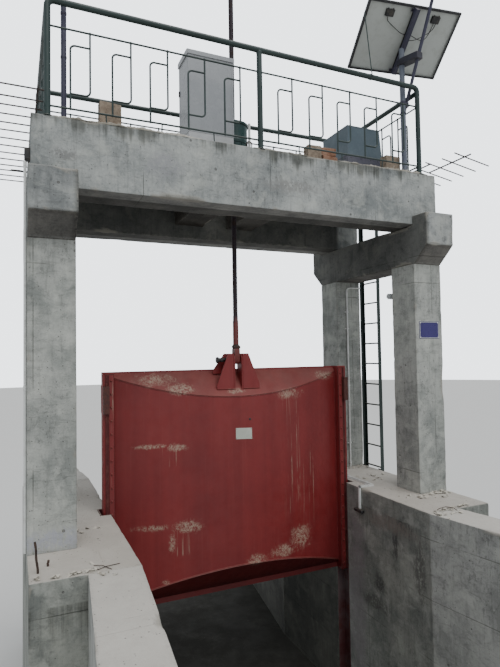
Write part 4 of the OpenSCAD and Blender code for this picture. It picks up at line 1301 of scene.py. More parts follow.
@dataclass
class PortalFrame:
    """Columns, cap beams with corbels, main beams, hoist beams and deck."""

    corbel: float = 0.207
    upstand: float = 0.1

    def columns(self) -> None:
        """Casts the four columns."""
        for i, node in enumerate(
                ("front_left_column", "front_right_column", "back_left_column", "back_right_column")):
            low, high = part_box(node)
            CastBlock(Axis.Z, rectangle(low, high), low[2], high[2], seed=31 + 3 * i, step=0.045,
                      chips=0.028, ends=(0.5, 0.3)).cast(node, COLUMN)

    def caps(self) -> None:
        """Casts the cap beams with their corbels."""
        for i, node in enumerate(("left_cap_beam", "right_cap_beam")):
            low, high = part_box(node)
            face = high[1] - 0.23
            inner = face - 0.0097
            half = [(face, low[2]), (high[1], low[2] + self.corbel), (high[1], high[2]), (inner, high[2]),
                    (inner, high[2] - self.upstand)]
            profile = half + [(-y, z) for y, z in reversed(half)]
            CastBlock(Axis.X, profile, low[0], high[0], seed=47 + 5 * i, step=0.04, chips=0.03).cast(
                node, CONCRETE)

    def beams(self) -> None:
        """Casts the main beams, the hoist beams and the deck."""
        for i, node in enumerate(("front_main_beam", "back_main_beam")):
            low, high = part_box(node)
            CastBlock(Axis.X, rectangle(low[1:], high[1:]), low[0], high[0], seed=58 + 4 * i, step=0.045,
                      chips=0.036).cast(node, BEAM)
        for node, axis in (("hoist_beams", Axis.Y), ("deck_slabs", Axis.Z)):
            low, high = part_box(node)
            inner = 0.165 if node == "hoist_beams" else 0.545
            stock = Stock()
            for side in (-1, 1):
                a, b = sorted((side * inner, side * high[0]))
                if axis is Axis.Y:
                    outline, ends = rectangle((a, low[2]), (b, high[2])), (low[1], high[1])
                else:
                    outline, ends = rectangle((a, low[1]), (b, high[1])), (low[2], high[2])
                CastBlock(axis, outline, *ends, seed=70 + side, step=0.06, chips=0.02,
                          ends=(0.5, 0.5)).pour(stock)
            stock.piece(node + "_cast", UNDER_DECK, "concrete", (node,), angle=28)

    def lip(self) -> None:
        """Trowels a ragged lip of mortar along the front edge of the deck."""
        low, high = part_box("front_main_beam")
        stock = Stock()
        for start, end, tall in (
                (low[0] + 0.15, -0.72, 0.035), (-0.15, 0.5, 0.02), (0.9, high[0] - 0.12, 0.03)):
            rings = []
            count = int((end - start) / 0.014)
            for i in range(count + 1):
                x = start + (end - start) * i / count
                rough = 0.5 + noise.noise(Vector((x * 9, 1.3, 0))) * 0.6 + noise.noise(
                    Vector((x * 43, 5.3, 0))) * 0.35
                fade = min(1.0, i / 8, (count - i) / 8)
                h = 0.003 + tall * max(0.05, rough) * fade
                y = low[1] + 0.001 + 0.012 * noise.noise(Vector((x * 12, 7.7, 0)))
                z = high[2] - 0.001
                rings.append(
                    stock.ring(((x, y - 0.002, z - 0.004), (x, y, z + h * 0.7), (x, y + 0.015, z + h),
                                (x, y + 0.05, z + h * 0.5), (x, y + 0.08, z))))
            stock.wrap(rings)
        stock.piece("deck_edge_mortar", MORTAR, "concrete", angle=25)

    def build(self) -> None:
        """Builds the frame."""
        self.columns()
        self.caps()
        self.beams()
        self.lip()


def keep(node: str, finish: Finish, bevel: float = 0.0) -> bpy.types.Object:
    """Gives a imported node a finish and, where asked, a bevel on its edges."""
    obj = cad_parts[node]
    for slot in obj.material_slots:
        slot.material = finish.material()
    if bevel:
        worn = obj.modifiers.new("Eased edges", "BEVEL")
        worn.width, worn.segments, worn.limit_method = bevel, 2, "ANGLE"
        obj.modifiers.new("Even normals", "WEIGHTED_NORMAL").keep_sharp = True
    log.info("%s: packed node, %s", node, finish.name)
    return obj


# Gate

@dataclass
class GateLeaf:
    """Arched skin, sloping end plates, side posts with seals, and a bare label plate."""

    low: float = 2.07
    high: float = 4.716
    inner: float = 1.4497
    outer: float = 1.57
    back: float = 0.03
    radius: float = 4.8884
    crown: float = -0.23
    plate: float = 0.010
    slope: float = 1.16

    def bow(self, x: float) -> float:
        """Y of the front of the skin at a place across the leaf."""
        return self.crown + self.radius - math.sqrt(self.radius ** 2 - x * x)

    def edge(self, y: float, top: bool, under: float = 0.0) -> float:
        """Height of the outer face of an end plate, or of a level under it."""
        depth = under * math.hypot(1.0, self.slope)
        if top:
            return self.high - 0.0084 - self.slope * (self.back - y) - depth
        return self.low + 0.0484 + self.slope * (self.back - y) + depth

    def dent(self, x: float, z: float) -> float:
        """How far the skin is pressed in or out at a place."""
        bay = math.sin(x / 0.725 * math.pi) * math.sin((z - self.low) / 0.66 * math.pi)
        return 0.0012 * bay + 0.0028 * noise.noise(Vector((x * 1.7, 3.1, z * 1.7)))

    def skin(self) -> None:
        """Rolls the skin."""
        wide, tall, seam = 116, 64, self.plate + 0.0004

        def outer(i: int, j: int) -> Point:
            """Point of the outer face."""
            x = -self.inner + 2 * self.inner * i / wide
            y = self.bow(x)
            low, high = self.edge(y, False, seam), self.edge(y, True, seam)
            z = low + (high - low) * j / tall
            ease = min(1.0, 4.5 * min(i, wide - i) / wide, 4.5 * min(j, tall - j) / tall)
            return x, y + self.dent(x, z) * ease, z

        def inner(at: Vector) -> Vector:
            """Point of the inner face behind one of the outer face."""
            way = Vector((0, self.crown + self.radius, 0)) - Vector((at.x, at.y, 0))
            return at + way.normalized() * self.plate

        stock = Stock()
        stock.plate(grid(wide + 1, tall + 1, outer), inner)
        stock.piece("leaf_skin", LEAF, "red_paint", ("gate_skin",), angle=30, body="gate")

    def end_plates(self) -> None:
        """Cuts the two sloping end plates along the bow of the skin."""
        stock = Stock()
        for top in (True, False):
            def outer(i: int, j: int, top: bool = top) -> Point:
                """Point of the outer face."""
                x = -self.inner + 2 * self.inner * i / 96
                front = self.bow(x) - 0.006
                y = front + (0.0197 - front) * j / 6
                sag = 0.002 * noise.noise(Vector((x * 2.3, y * 3, top * 5.0))) * min(1.0, j, 6 - j)
                return x, y, self.edge(y, top) + sag

            shift = Vector((0, self.slope, -1 if top else 1)).normalized() * self.plate
            stock.plate(grid(97, 7, outer), lambda at, shift=shift: at + shift)
        stock.piece("leaf_end_plates", LEAF, "red_paint", ("gate_end_plates",), angle=30, body="gate")

    def posts(self) -> None:
        """Builds the side posts with their end caps and clamp bars."""
        stock = Stock()
        front = -0.09
        for side in (-1, 1):
            a, b = sorted((side * 1.4503, side * self.outer))
            stock.block((a, front, self.low), (b, self.back, self.high))
            c, d = sorted((side * 1.456, side * 1.506))
            stock.block((c, front - 0.013, self.low + 0.03), (d, front - 0.006, self.high - 0.03))
            for z in (self.low + 0.012, self.high - 0.022):
                stock.block((a + 0.004, front - 0.004, z), (b - 0.004, self.back - 0.01, z + 0.010))
        stock.piece("leaf_side_posts", LEAF, "red_paint", ("gate_side_posts",), bevel=0.002, body="gate")
        rubber = Stock()
        for side in (-1, 1):
            a, b = sorted((side * 1.452, side * 1.532))
            rubber.block((a, front - 0.006, self.low + 0.02), (b, front, self.high - 0.02))
            rubber.pipe(
                [(side * 1.535, front - 0.008, self.low + 0.02 + (self.high - self.low - 0.04) * i / 24)
                 for i in range(25)], 0.009, 12)
        rubber.piece("leaf_side_seals", SEAL, "red_paint", body="gate")
        bolts = Stock()
        for side in (-1, 1):
            for i in range(18):
                bolts.bolt((side * 1.481, front - 0.013, self.low + 0.09 + i * 0.145), FRONT, 0.012, 0.006)
        bolts.piece("leaf_seal_bolts", LEAF, "red_paint", body="gate")

    def seams(self) -> None:
        """Lays the weld beads along the skin, the end plates and the side posts."""
        stock = Stock()
        for top in (True, False):
            path = []
            for i in range(49):
                x = -1.445 + 2.89 * i / 48
                y = self.bow(x) - 0.0005
                path.append((x, y, self.edge(y, top, self.plate + 0.001)))
            stock.bead(path, 0.0042, 3 + top)
        for side in (-1, 1):
            y = self.bow(1.449) - 0.001
            x = side * 1.448
            stock.bead([(x, y, self.edge(y, False, self.plate)), (x, y, self.edge(y, True, self.plate))],
                       0.0042, 9 + side)
        stock.piece("leaf_welds", LEAF, "red_paint", angle=60, body="gate")

    def label(self) -> None:
        """Rivets a bare plate to the skin, and sets a plug above it."""
        stock = Stock()

        def front(i: int, j: int) -> Point:
            """Point of the front, with a corner that curls away."""
            x = -0.070 + 0.207 * i / 10
            curl = 0.004 * max(0.0, i - 8) / 2 * max(0.0, 3 - j) / 3
            return x, self.bow(x) + self.dent(x, 3.9) - 0.0025 - curl, 3.894 + 0.131 * j / 6 - 0.010 * i / 10

        stock.plate(grid(11, 7, front), lambda at: at + Vector((0, 0.0016, 0)))
        stock.piece("label_plate", PLATE, "red_paint", angle=30, body="gate")
        rivets = Stock()
        for x, z in ((-0.060, 3.905), (-0.060, 4.013), (0.127, 3.896), (0.127, 4.004)):
            y = self.bow(x) + self.dent(x, z) - 0.0035
            rivets.lathe((x, y + 0.003, z), FRONT, mm(0, 4.2, 3, 4.2, 4.6, 3.4, 5.6, 1.8, 5.8, 0.1), 12)
        x, z = 0.114, 4.119
        rivets.lathe((x, self.bow(x) + 0.003, z), FRONT, mm(0, 14, 6, 14, 8, 11, 8, 4), 20)
        rivets.piece("label_rivets_and_plug", STEEL, "dark_steel", body="gate")

    def build(self) -> None:
        """Builds the leaf."""
        self.skin()
        self.end_plates()
        self.posts()
        self.seams()
        self.label()
        keep("gate_ribs", LEAF)
        keep("gate_shoes", SHOE, 0.003)


@dataclass
class LiftingGear:
    """Lifting bracket, pin, threaded screw and screw hoist."""

    y: float = -0.10
    z_pin: float = 4.826
    z_deck: float = 7.065
    tip: float = 9.576
    pitch: float = 0.016

    def bracket(self) -> None:
        """Dresses the bracket and welds it to the leaf."""
        keep("lifting_bracket", LEAF, 0.002)
        stock = Stock()
        leaf = GateLeaf()
        for side in (-1, 1):
            for x in (side * 0.058, side * 0.040):
                path = [
                    (x, y, leaf.edge(y, True) + 0.002) for y in (self.y - 0.074, self.y, self.y + 0.074)]
                stock.bead(path, 0.0045, 11)
            for y in (self.y - 0.0765, self.y + 0.0765):
                stock.bead([(side * 0.058, y, leaf.edge(y, True) + 0.01),
                            (side * 0.058, y, self.z_pin + 0.05)], 0.004, 17)
                stock.bead([(side * 0.06, y, leaf.edge(y, True) + 0.016),
                            (side * 0.272, y, leaf.edge(y, True) + 0.016)], 0.005, 23)
        stock.piece("bracket_welds", LEAF, "red_paint", angle=60, body="gate")

    def pin(self) -> None:
        """Turns the pin, with its washer and split pin."""
        stock = Stock()
        base, run = (-0.255, self.y, self.z_pin), RIGHT
        stock.lathe(
            base, run,
            mm(0, 30, 3, 35.5, 8, 37.5, 21, 37.5, 25, 34.5, 25, 25.5, 28, 25, 370, 25, 375, 22.5), 40)
        stock.lathe((0.0575, self.y, self.z_pin), run, mm(0, 38, 1, 40, 7, 40, 8, 38, 8, 26), 36)
        for turn in (-1, 1):
            loop = [(0.085, self.y - 0.036 * turn, self.z_pin + 0.004),
                    (0.085, self.y, self.z_pin + 0.001 * turn),
                    (0.085, self.y + 0.034 * turn, self.z_pin - 0.004),
                    (0.079 + 0.01 * turn, self.y + 0.044 * turn, self.z_pin - 0.012)]
            stock.pipe(rounded(loop, 0.01), 0.0028, 8)
        stock.lathe((0.085, self.y + 0.036, self.z_pin + 0.0), UP, mm(-6, 6, 0, 7.5, 6, 6), 14)
        stock.piece("pin_turned", STEEL, "dark_steel", ("bracket_pin",), angle=35, body="gate")

    def screw(self) -> None:
        """Turns the screw: eye block, painted shank, thread and end cap."""
        stock = Stock()
        z0 = self.z_pin
        eye = [(0.045 * math.cos(math.radians(a)), z0 + 0.053 * math.sin(math.radians(a)))
               for a in range(180, 361, 12)]
        eye += [(0.045, z0 + 0.115), (0.036, z0 + 0.134), (-0.036, z0 + 0.134), (-0.045, z0 + 0.115)]
        stock.prism(Axis.X, [(self.y + u, v) for u, v in eye], -0.034, 0.034)
        shank = mm(0, 40, 8, 41.5, 20, 38.5, 50, 34.5, 340, 33, 344, 30.5, 400, 30)
        stock.lathe((0, self.y, z0 + 0.130), UP, shank, 36)
        core = 0.0262
        foot, top = z0 + 0.52, self.tip - 0.05
        stock.lathe(
            (0, self.y, foot - 0.02), UP,
            ((0, 0.0300), (0.012, 0.0300), (0.02, core), (top - foot, core), (top - foot + 0.03, core),
             (self.tip - foot + 0.012, core), (self.tip - foot + 0.02, core - 0.008)), 28)
        sides, rings = 20, []
        count = int((top - foot) / self.pitch) * sides
        for i in range(count + 1):
            turn = math.tau * i / sides
            grow = min(1.0, i / 14, (count - i) / 14)
            tall = core - 0.001 + (0.0305 - core + 0.001) * grow
            z = foot + self.pitch * i / sides
            c, s = math.cos(turn), math.sin(turn)
            ring = ((core - 0.002, z - 0.0056), (tall, z - 0.0034), (tall, z + 0.0034),
                    (core - 0.002, z + 0.0056))
            rings.append(stock.ring((c * r, self.y + s * r, h) for r, h in ring))
        stock.wrap(rings)
        stock.piece("screw_threaded", SCREW, "dark_steel", ("hoist_screw",), angle=32, body="gate")
        lump = Stock()
        lump.lathe((0.002, self.y, z0 + 0.132), UP, mm(0, 38.5, 4, 46, 14, 52, 26, 50, 40, 43, 52, 34), 36)
        for v in lump.bm.verts:
            shift = noise.noise(v.co * 38) * 0.010
            away = Vector((v.co.x, v.co.y - self.y, 0))
            if away.length > 0.01:
                v.co += away.normalized() * max(shift, 0.0355 - away.length)
            v.co.z += noise.noise(v.co * 31 + Vector((5, 5, 5))) * 0.006
        lump.piece("grease_lump",
                   BareMetal("Old grease", "221612", "462c22", metal=0.0, rough=(0.4, 0.8), depth=0.003),
                   "dark_steel", angle=60, body="gate")

    def spokes(self, stock: Stock, count: int, thick: float, z: float, outline: Sequence[Point]) -> None:
        """Stands thin ribs round the axis of the screw.

        Args:
            stock: Mesh that gets the ribs.
            count: Number of ribs.
            thick: Half of their thickness.
            z: Level from which the outline is drawn.
            outline: Pairs of radius and height.
        """
        for k in range(count):
            turn = Matrix.Rotation(math.tau * (k + 0.5) / count, 3, "Z")
            stock.wrap([stock.ring(Vector((0, self.y, z)) + turn @ Vector((r, t, h)) for r, h in outline)
                        for t in (-thick, thick)])

    def hoist(self) -> None:
        """Builds the hoist: foot plate, ribbed barrel, drum with its rims, cap and cable tube."""
        z = self.z_deck
        base = Stock()
        base.prism(Axis.Z,
                   [(x, self.y + y)
                    for x, y in ((-0.2, -0.205), (-0.185, -0.22), (0.185, -0.22), (0.2, -0.205),
                                 (0.2, 0.205), (0.185, 0.22), (-0.185, 0.22), (-0.2, 0.205))], z, z + 0.024)
        bore = 0.047
        base.lathe((0, self.y, 0), UP,
                   ((z + 0.02, 0.180), (z + 0.030, 0.180), (z + 0.040, 0.168), (z + 0.050, 0.1665),
                    (z + 0.125, 0.1665), (z + 0.133, 0.176), (z + 0.1559, 0.176), (z + 0.1559, bore),
                    (z + 0.02, bore)), 56)
        self.spokes(base, 8, 0.006, z,
                    ((0.155, 0.022), (0.194, 0.022), (0.192, 0.032), (0.172, 0.134), (0.155, 0.134)))
        base.piece("hoist_foot", HOIST, "hoist_green", ("hoist_base",), bevel=0.0015)
        body = Stock()
        b = z + 0.156
        profile = mm(0, 176, 22, 176, 26, 168, 40, 168, 48, 178, 215, 178, 222, 184.5, 240, 184.5, 240.2,
                     183, 242.8, 183, 243, 184.5, 262, 184.5, 270, 178, 440, 178, 446, 190.5, 472, 190.5,
                     474.5, 187, 476, 150, 480, 75, 485, 67, 500, 65.5, 504, 62, 504, 41, 0, 41)
        body.lathe((0, self.y, b), UP, profile, 64)
        self.spokes(body, 12, 0.005, b, ((0.17, 0.048), (0.1838, 0.048), (0.1838, 0.215), (0.17, 0.215)))
        body.piece("hoist_case", HOIST, "hoist_green", ("hoist_body",), bevel=0.0012)
        bolts = Stock()
        for x in (-0.172, 0.172):
            for y in (-0.192, 0.192):
                bolts.bolt((x, self.y + y, z + 0.024), UP, 0.018, 0.014)
        for k in range(16):
            a = math.tau * (k + 0.5) / 16
            bolts.bolt((0.168 * math.cos(a), self.y + 0.168 * math.sin(a), b + 0.4755), UP, 0.008, 0.003)
        for k in range(6):
            a = math.tau * k / 6 + 0.2
            bolts.bolt((0.104 * math.cos(a), self.y + 0.104 * math.sin(a), b + 0.4775), UP, 0.010, 0.003)
        bolts.piece("hoist_bolts", STEEL, "hoist_green")
        tube = Stock()
        x = 0.225
        tube.lathe((x, self.y, 0), UP,
                   ((z, 0.022), (z + 0.005, 0.022), (z + 0.007, 0.015), (z + 0.40, 0.015),
                    (z + 0.401, 0.0172), (z + 0.445, 0.0172), (z + 0.446, 0.015), (z + 0.68, 0.015),
                    (z + 0.681, 0.0172), (z + 0.695, 0.0172), (z + 0.700, 0.012)), 20)
        for h in (0.36, 0.519):
            tube.block((0.176, self.y - 0.011, z + h), (x - 0.010, self.y + 0.011, z + h + 0.004))
            tube.lathe((x, self.y, z + h - 0.007), UP, mm(0, 15.8, 1, 17.8, 17, 17.8, 18, 15.8), 20)
        tube.piece("hoist_cable_tube", WHITE, "white_plastic")
        keep("hoist_nut", BRONZE)

    def build(self) -> None:
        """Builds the gear."""
        self.bracket()
        self.pin()
        self.screw()
        self.hoist()


# Railings and ladder

@dataclass
class Railings:
    """Railings of pipe with rows of locked scrolls of round bar."""

    deck: float = 7.065
    height: float = 1.09
    back: float = 1.18
    pipe: float = 0.030
    bar: float = 0.0095
    low: float = 0.105
    drop: float = 0.24
    line: float = 1.0
    ends: tuple[float, float, float] = (-2.18, -0.05, 2.11)
    scroll: tuple[float, float] = (0.195, 0.055)
    offsets: tuple[tuple[float, ...], tuple[float, ...]] = (
        (-0.009, -0.012, -0.033, -0.028, -0.019), (0.004, 0.004, -0.013, -0.025, -0.013))

    def bay(self, stock: Stock, ends: Point, count: int, tall: float,
            place: Callable[[float, float], Vector], shifts: Sequence[float] = ()) -> None:
        """Fills the bay between two posts with thin rails and scrolls.

        Args:
            stock: Mesh that gets the bars.
            ends: Places of the two posts along the bay.
            count: Number of scrolls.
            tall: Height of the top rail.
            place: Function from a place along the bay and a height above the deck to a point.
            shifts: How far each scroll stands off its even place.
        """
        start, end = ends
        low, high = self.low, tall - self.drop
        pitch = (end - start) / (count + 0.55)
        wide, bend = self.scroll
        for z in (low, high):
            wave = [(start + (end - start) * i / 24, z) for i in range(25)]
            stock.pipe([place(u, v + 0.0015 * noise.noise(Vector((u * 3, v, start)))) for u, v in wave],
                       self.bar, 10)
        for i in range(count):
            u = (start + end) / 2 + (i - (count - 1) / 2) * pitch - wide / 2 + (
                shifts[i] if shifts else 0.0)
            arm = (high - low) * 0.18
            in_u, r = self.bar, bend - self.bar
            first = [(u + in_u, low), (u + in_u, high - arm - self.bar),
                     (u + wide - self.bar * 2, high - arm - self.bar)]
            second = [(u + wide - in_u, high), (u + wide - in_u, low + arm + self.bar),
                      (u + self.bar * 2, low + arm + self.bar)]
            for path in (first, second):
                flat = rounded([(a, b, 0) for a, b in path], r, 8)
                fine = []
                for p, q in zip(flat, flat[1:]):
                    fine.append(p)
                    if (q - p).length > 0.1:
                        fine += [p.lerp(q, k / 5) for k in range(1, 5)]
                fine.append(flat[-1])
                stock.pipe([place(p.x, p.y) for p in fine], self.bar, 10)
                tip = place(path[0][0], path[0][1])
                stock.lathe(
                    tip - Vector((0, 0, 0.010)), UP, mm(0, 9, 5, 11.8, 12, 12.5, 19, 10.5, 21, 8.5), 10)

    def long_side(self, end: int, node: str) -> None:
        """Builds the front or the back railing."""
        first, middle, last = self.ends
        y = end * self.line
        stock = Stock()
        tall = self.height if end < 0 else self.back
        top = self.deck + tall
        frame_path = rounded([(first, y, self.deck - 0.001), (first, y, top), (last, y, top),
                              (last, y, self.deck - 0.001)], 0.06, 8)
        stock.pipe(frame_path, self.pipe, 20)
        stock.pipe([(middle, y, self.deck - 0.001), (middle, y, top - 0.01)], self.pipe, 20)
        stock.lathe((middle, y, top - 0.042), UP, mm(0, 30.2, 4, 32.5, 12, 33.5, 20, 31.5), 20)
        for x in self.ends:
            stock.lathe((x, y, self.deck - 0.001), UP, mm(0, 52, 4, 53, 7, 51, 7, 36, 12, 34, 18, 31), 24)
        off = self.offsets if end < 0 else ((), ())
        for ends, shifts in (((first, middle), off[0]), ((middle, last), off[1])):
            self.bay(stock, ends, 5, tall, lambda u, v: Vector((u, y, self.deck + v)), shifts)
        stock.piece(node + "_bars", RAIL, "rail_green", (node,), angle=42)

    def short_side(self, x: float, end: float, count: int, closed: bool, node: str) -> None:
        """Builds the railing along one side of the deck."""
        start = -self.line + self.pipe + 0.0003
        stop = end - self.pipe - 0.0003 if closed else end
        stock = Stock()
        top = self.deck + self.height - 0.062
        if closed:
            stock.pipe([(x, start + (stop - start) * i / 12, top) for i in range(13)], self.pipe, 20)
        else:
            path = rounded([(x, start, top), (x, stop - self.pipe, top),
                            (x, stop - self.pipe, self.deck - 0.001)], 0.06, 8)
            stock.pipe(path, self.pipe, 20)
            stock.lathe((x, stop - self.pipe, self.deck - 0.001), UP,
                        mm(0, 52, 4, 53, 7, 51, 7, 36, 12, 34, 18, 31), 24)
        ends = (start, stop - (0 if closed else self.pipe))
        self.bay(stock, ends, count, self.height, lambda u, v: Vector((x, u, self.deck + v)))
        stock.piece(node + "_bars", RAIL, "rail_green", (node,), angle=42)

    def props(self) -> None:
        """Stands short props of bar under the low front rail."""
        stock = Stock()
        for x in (-1.66, -1.12, -0.58, 0.42, 0.98, 1.55):
            lean = 0.006 * math.sin(x * 7)
            stock.pipe([(x + lean, -self.line, self.deck - 0.002), (x, -self.line, self.deck + self.low)],
                       0.0065, 8)
        stock.piece("rail_props", RAIL, "rail_green")

    def build(self) -> None:
        """Builds the four railings."""
        self.long_side(-1, "front_railing")
        self.long_side(1, "back_railing")
        self.short_side(self.ends[0], self.line, 5, True, "left_side_railing")
        self.short_side(self.ends[2], 0.217, 3, False, "right_side_railing")
        self.props()


@dataclass
class Ladder:
    """Ladder of angle stiles and round rungs on brackets."""

    x: float = 2.405
    ends: tuple[float, float] = (0.22, 0.63)
    low: float = 3.14
    high: float = 7.125

    def build(self) -> None:
        """Builds the ladder with its brackets and anchors."""
        stock = Stock()
        stile = 0.045
        sides = (self.ends[0], self.ends[1] - stile)
        for y, web in zip(sides, (0.0, stile - 0.006)):
            stock.block((self.x + 0.002, y, self.low), (self.x + 0.008, y + stile, self.high))
            stock.block((self.x - 0.050, y + web, self.low), (self.x + 0.0021, y + web + 0.006, self.high))
        rungs = [3.22 + 0.3 * k for k in range(13) if 3.22 + 0.3 * k <= self.high - 0.16]
        for z in rungs:
            dip = 0.002 * math.sin(z * 5)
            stock.pipe([(self.x, self.ends[0] + 0.010 + (self.ends[1] - self.ends[0] - 0.02) * i / 4,
                         z - dip * (i in (1, 2, 3))) for i in range(5)], 0.011, 14)
            for y in (sides[0] + stile, sides[1]):
                stock.lathe((self.x, y - 0.002, z), BACK, mm(0, 13.5, 2, 14.5, 4, 12.5), 14)
        for z in (3.155, 6.145):
            for y in sides:
                stock.block((2.35, y, z), (self.x + 0.001, y + stile, z + 0.012))
                stock.block((2.35, y - 0.012, z - 0.045), (2.356, y + stile + 0.012, z + 0.057))
                for dz in (-0.027, 0.039):
                    stock.bolt((2.356, y + stile / 2, z + dz), RIGHT, 0.011, 0.008)
        stock.piece("ladder_rungs", LADDER, "ladder_green", ("ladder",), bevel=0.0012)


# Deck

@dataclass
class DeckGear:
    """Control cabinet, sheet housing, and the loose blocks, bricks and bar stubs on the deck."""

    deck: float = 7.065

    def cabinet(self) -> None:
        """Folds the cabinet: plinth band, plain case, canopy, and a door with lock and hinges at the back."""
        (x0, y0, z0), (x1, y1, z1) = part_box("control_cabinet")
        x0, x1, y0, y1 = x0 + 0.01, x1 - 0.01, y0 + 0.01, y1 - 0.01
        stock = Stock()
        roof, foot = z1 - 0.06, z0 + 0.255
        stock.block((x0 + 0.002, y0 + 0.002, foot - 0.004), (x1 - 0.002, y1 - 0.018, roof + 0.001))
        for x in (x0, x1 - 0.022):
            stock.block((x, y0, foot + 0.001), (x + 0.022, y0 + 0.004, roof))
        stock.prism(Axis.X,
                    [(y0 - 0.010, roof), (y0 - 0.010, z1 - 0.012), (y0 + 0.02, z1), (y1 - 0.01, z1),
                     (y1 + 0.010, z1 - 0.012), (y1 + 0.010, roof)], x0 - 0.010, x1 + 0.010)
        rim, gap = 0.022, 0.004
        for low, high in (
                ((x0, foot), (x0 + rim, roof)), ((x1 - rim, foot), (x1, roof)),
                ((x0 + rim, foot), (x1 - rim, foot + rim)), ((x0 + rim, roof - rim), (x1 - rim, roof)),
                ((x0 + rim + gap, foot + rim + gap), (x1 - rim - gap, roof - rim - gap))):
            stock.block((low[0], y1 - 0.018, low[1]), (high[0], y1 - 0.001, high[1]))
        for k in range(6):
            z = foot + 0.60 + k * 0.024
            stock.prism(Axis.X,
                        [(y1 - 0.002, z), (y1 + 0.006, z - 0.004), (y1 + 0.006, z - 0.002),
                         (y1 - 0.002, z + 0.012)], x0 + 0.17, x1 - 0.17)
        stock.piece("cabinet_case", CABINET, "cabinet_grey", ("control_cabinet",), bevel=0.0022)
        plinth = Stock()
        plinth.block((x0 + 0.005, y0 + 0.005, z0), (x1 - 0.005, y1 - 0.005, foot))
        plinth.block((x0 + 0.003, y0 + 0.003, z0), (x1 - 0.003, y1 - 0.003, z0 + 0.03))
        for x in (x0 + 0.06, x1 - 0.06):
            plinth.bolt((x, y0 + 0.0035, z0 + 0.016), FRONT, 0.006)
        plinth.piece("cabinet_plinth", PLINTH, "cabinet_grey", bevel=0.002)
        trim = Stock()
        x, y, z = x0 + rim + 0.045, y1 - 0.001, foot + 0.40
        trim.block((x - 0.014, y, z - 0.075), (x + 0.014, y + 0.007, z + 0.075))
        trim.block((x - 0.009, y + 0.006, z - 0.060), (x + 0.009, y + 0.010, z + 0.028))
        trim.lathe((x, y + 0.006, z + 0.052), BACK, mm(0, 8, 2, 8, 3, 6, 3, 3), 16)
        for h in (0.10, 0.42, 0.74):
            trim.lathe((x1 - 0.016, y + 0.004, foot + h - 0.03), UP,
                       mm(0, 5.5, 29, 5.5, 29.5, 4.5, 30.5, 4.5, 31, 5.5, 60, 5.5), 14)
        trim.block((x0 - 0.008, y1 - 0.030, z0 + 0.77), (x0 + 0.001, y1 - 0.006, z0 + 0.83))
        trim.lathe((x0 + 0.001, -0.365, 7.464), LEFT, mm(0, 11, 6, 11, 9, 6), 16)
        trim.piece("cabinet_lock_and_hinges", STEEL, "dark_steel", bevel=0.001)

    def pressed(self, stock: Stock, outline: Sequence[Point],
                place: Callable[[float, float, float], Vector], shift: float) -> None:
        """Fills a closed outline with rings of sheet that are pressed in unevenly.

        Args:
            stock: Mesh that gets the sheet.
            outline: Fine outline in the plane of the sheet.
            place: Function from a point of the plane and a depth behind it to a point of the model.
            shift: Offset of the dents.
        """
        mid_u = sum(p[0] for p in outline) / len(outline)
        mid_v = sum(p[1] for p in outline) / len(outline)
        last = stock.ring(place(u, v, 0.0) for u, v in outline)
        for step in range(1, 10):
            share = 1 - step / 10
            row = []
            for u, v in outline:
                p, q = mid_u + (u - mid_u) * share, mid_v + (v - mid_v) * share
                broad = abs(noise.noise(Vector((p * 3.1, q * 3.1, shift))))
                fine = abs(noise.noise(Vector((p * 9, q * 9, shift + 3))))
                row.append(place(p, q, (0.010 * broad + 0.004 * fine) * min(1.0, step / 3)))
            now = stock.ring(row)
            stock.wrap([last, now], caps=False)
            last = now
        stock.face(last)

    @staticmethod
    def divided(outline: Sequence[Point], step: float) -> list[Point]:
        """Outline with points added along its sides, about a step apart."""
        fine = []
        for (a, c), (d, e) in zip(outline, [*outline[1:], outline[0]]):
            count = max(2, round(math.hypot(d - a, e - c) / step))
            fine += [(a + (d - a) * i / count, c + (e - c) * i / count) for i in range(count)]
        return fine

    def housing(self) -> None:
        """Folds the housing: base frame, dented sheet body with a sloping end, hem band, lid and screws."""
        (x0, y0, z0), (x1, y1, z1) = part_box("sheet_housing")
        b = z0 + 0.06
        tall, lean = z1 - b, 0.07
        stock = Stock()
        stock.block((x0 + 0.02, y0 + 0.02, z0), (x1 - 0.02, y1 - 0.02, b + 0.002))
        face = [(x0 + 0.002, b), (x1 - 0.002, b), (x1 - lean - 0.002, z1 - 0.014), (x0 + 0.002, z1 - 0.014)]
        wall = [(y0 + 0.002, 0.0), (y1 - 0.002, 0.0), (y1 - 0.002, 1.0), (y0 + 0.002, 1.0)]
        high = tall - 0.014
        for y, way, shift in ((y0 + 0.002, 1, 1.0), (y1 - 0.002, -1, 5.0)):
            self.pressed(stock, self.divided(face, 0.04), lambda u, v, d, y=y,
                         way=way: Vector((u, y + way * d, v)), shift)
        side = self.divided([(u, v * high) for u, v in wall], 0.04)
        self.pressed(stock, side, lambda u, v, d: Vector((x0 + 0.002 + d, u, b + v)), 8.0)
        self.pressed(
            stock, side, lambda u, v, d: Vector((x1 - 0.002 - lean * v / high - d, u, b + v)), 11.0)
        bmesh.ops.remove_doubles(stock.bm, verts=stock.bm.verts, dist=0.0002)
        stock.block((x0, y0, z1 - 0.014), (x1 - lean + 0.004, y1, z1 - 0.001))
        stock.block((x0 + 0.012, y0 + 0.012, z1 - 0.002), (x1 - lean - 0.008, y1 - 0.012, z1))
        stock.piece("housing_body", HOUSING, "housing_blue", ("sheet_housing",), angle=28)
        hem = Stock()
        top = 7.4
        hem.prism(Axis.Z,
                  [(x0, y0), (x1 - 0.07, y0), (x1 - 0.07, y0 + 0.003), (x0 + 0.003, y0 + 0.003),
                   (x0 + 0.003, y1), (x0, y1)], b + 0.004, top)
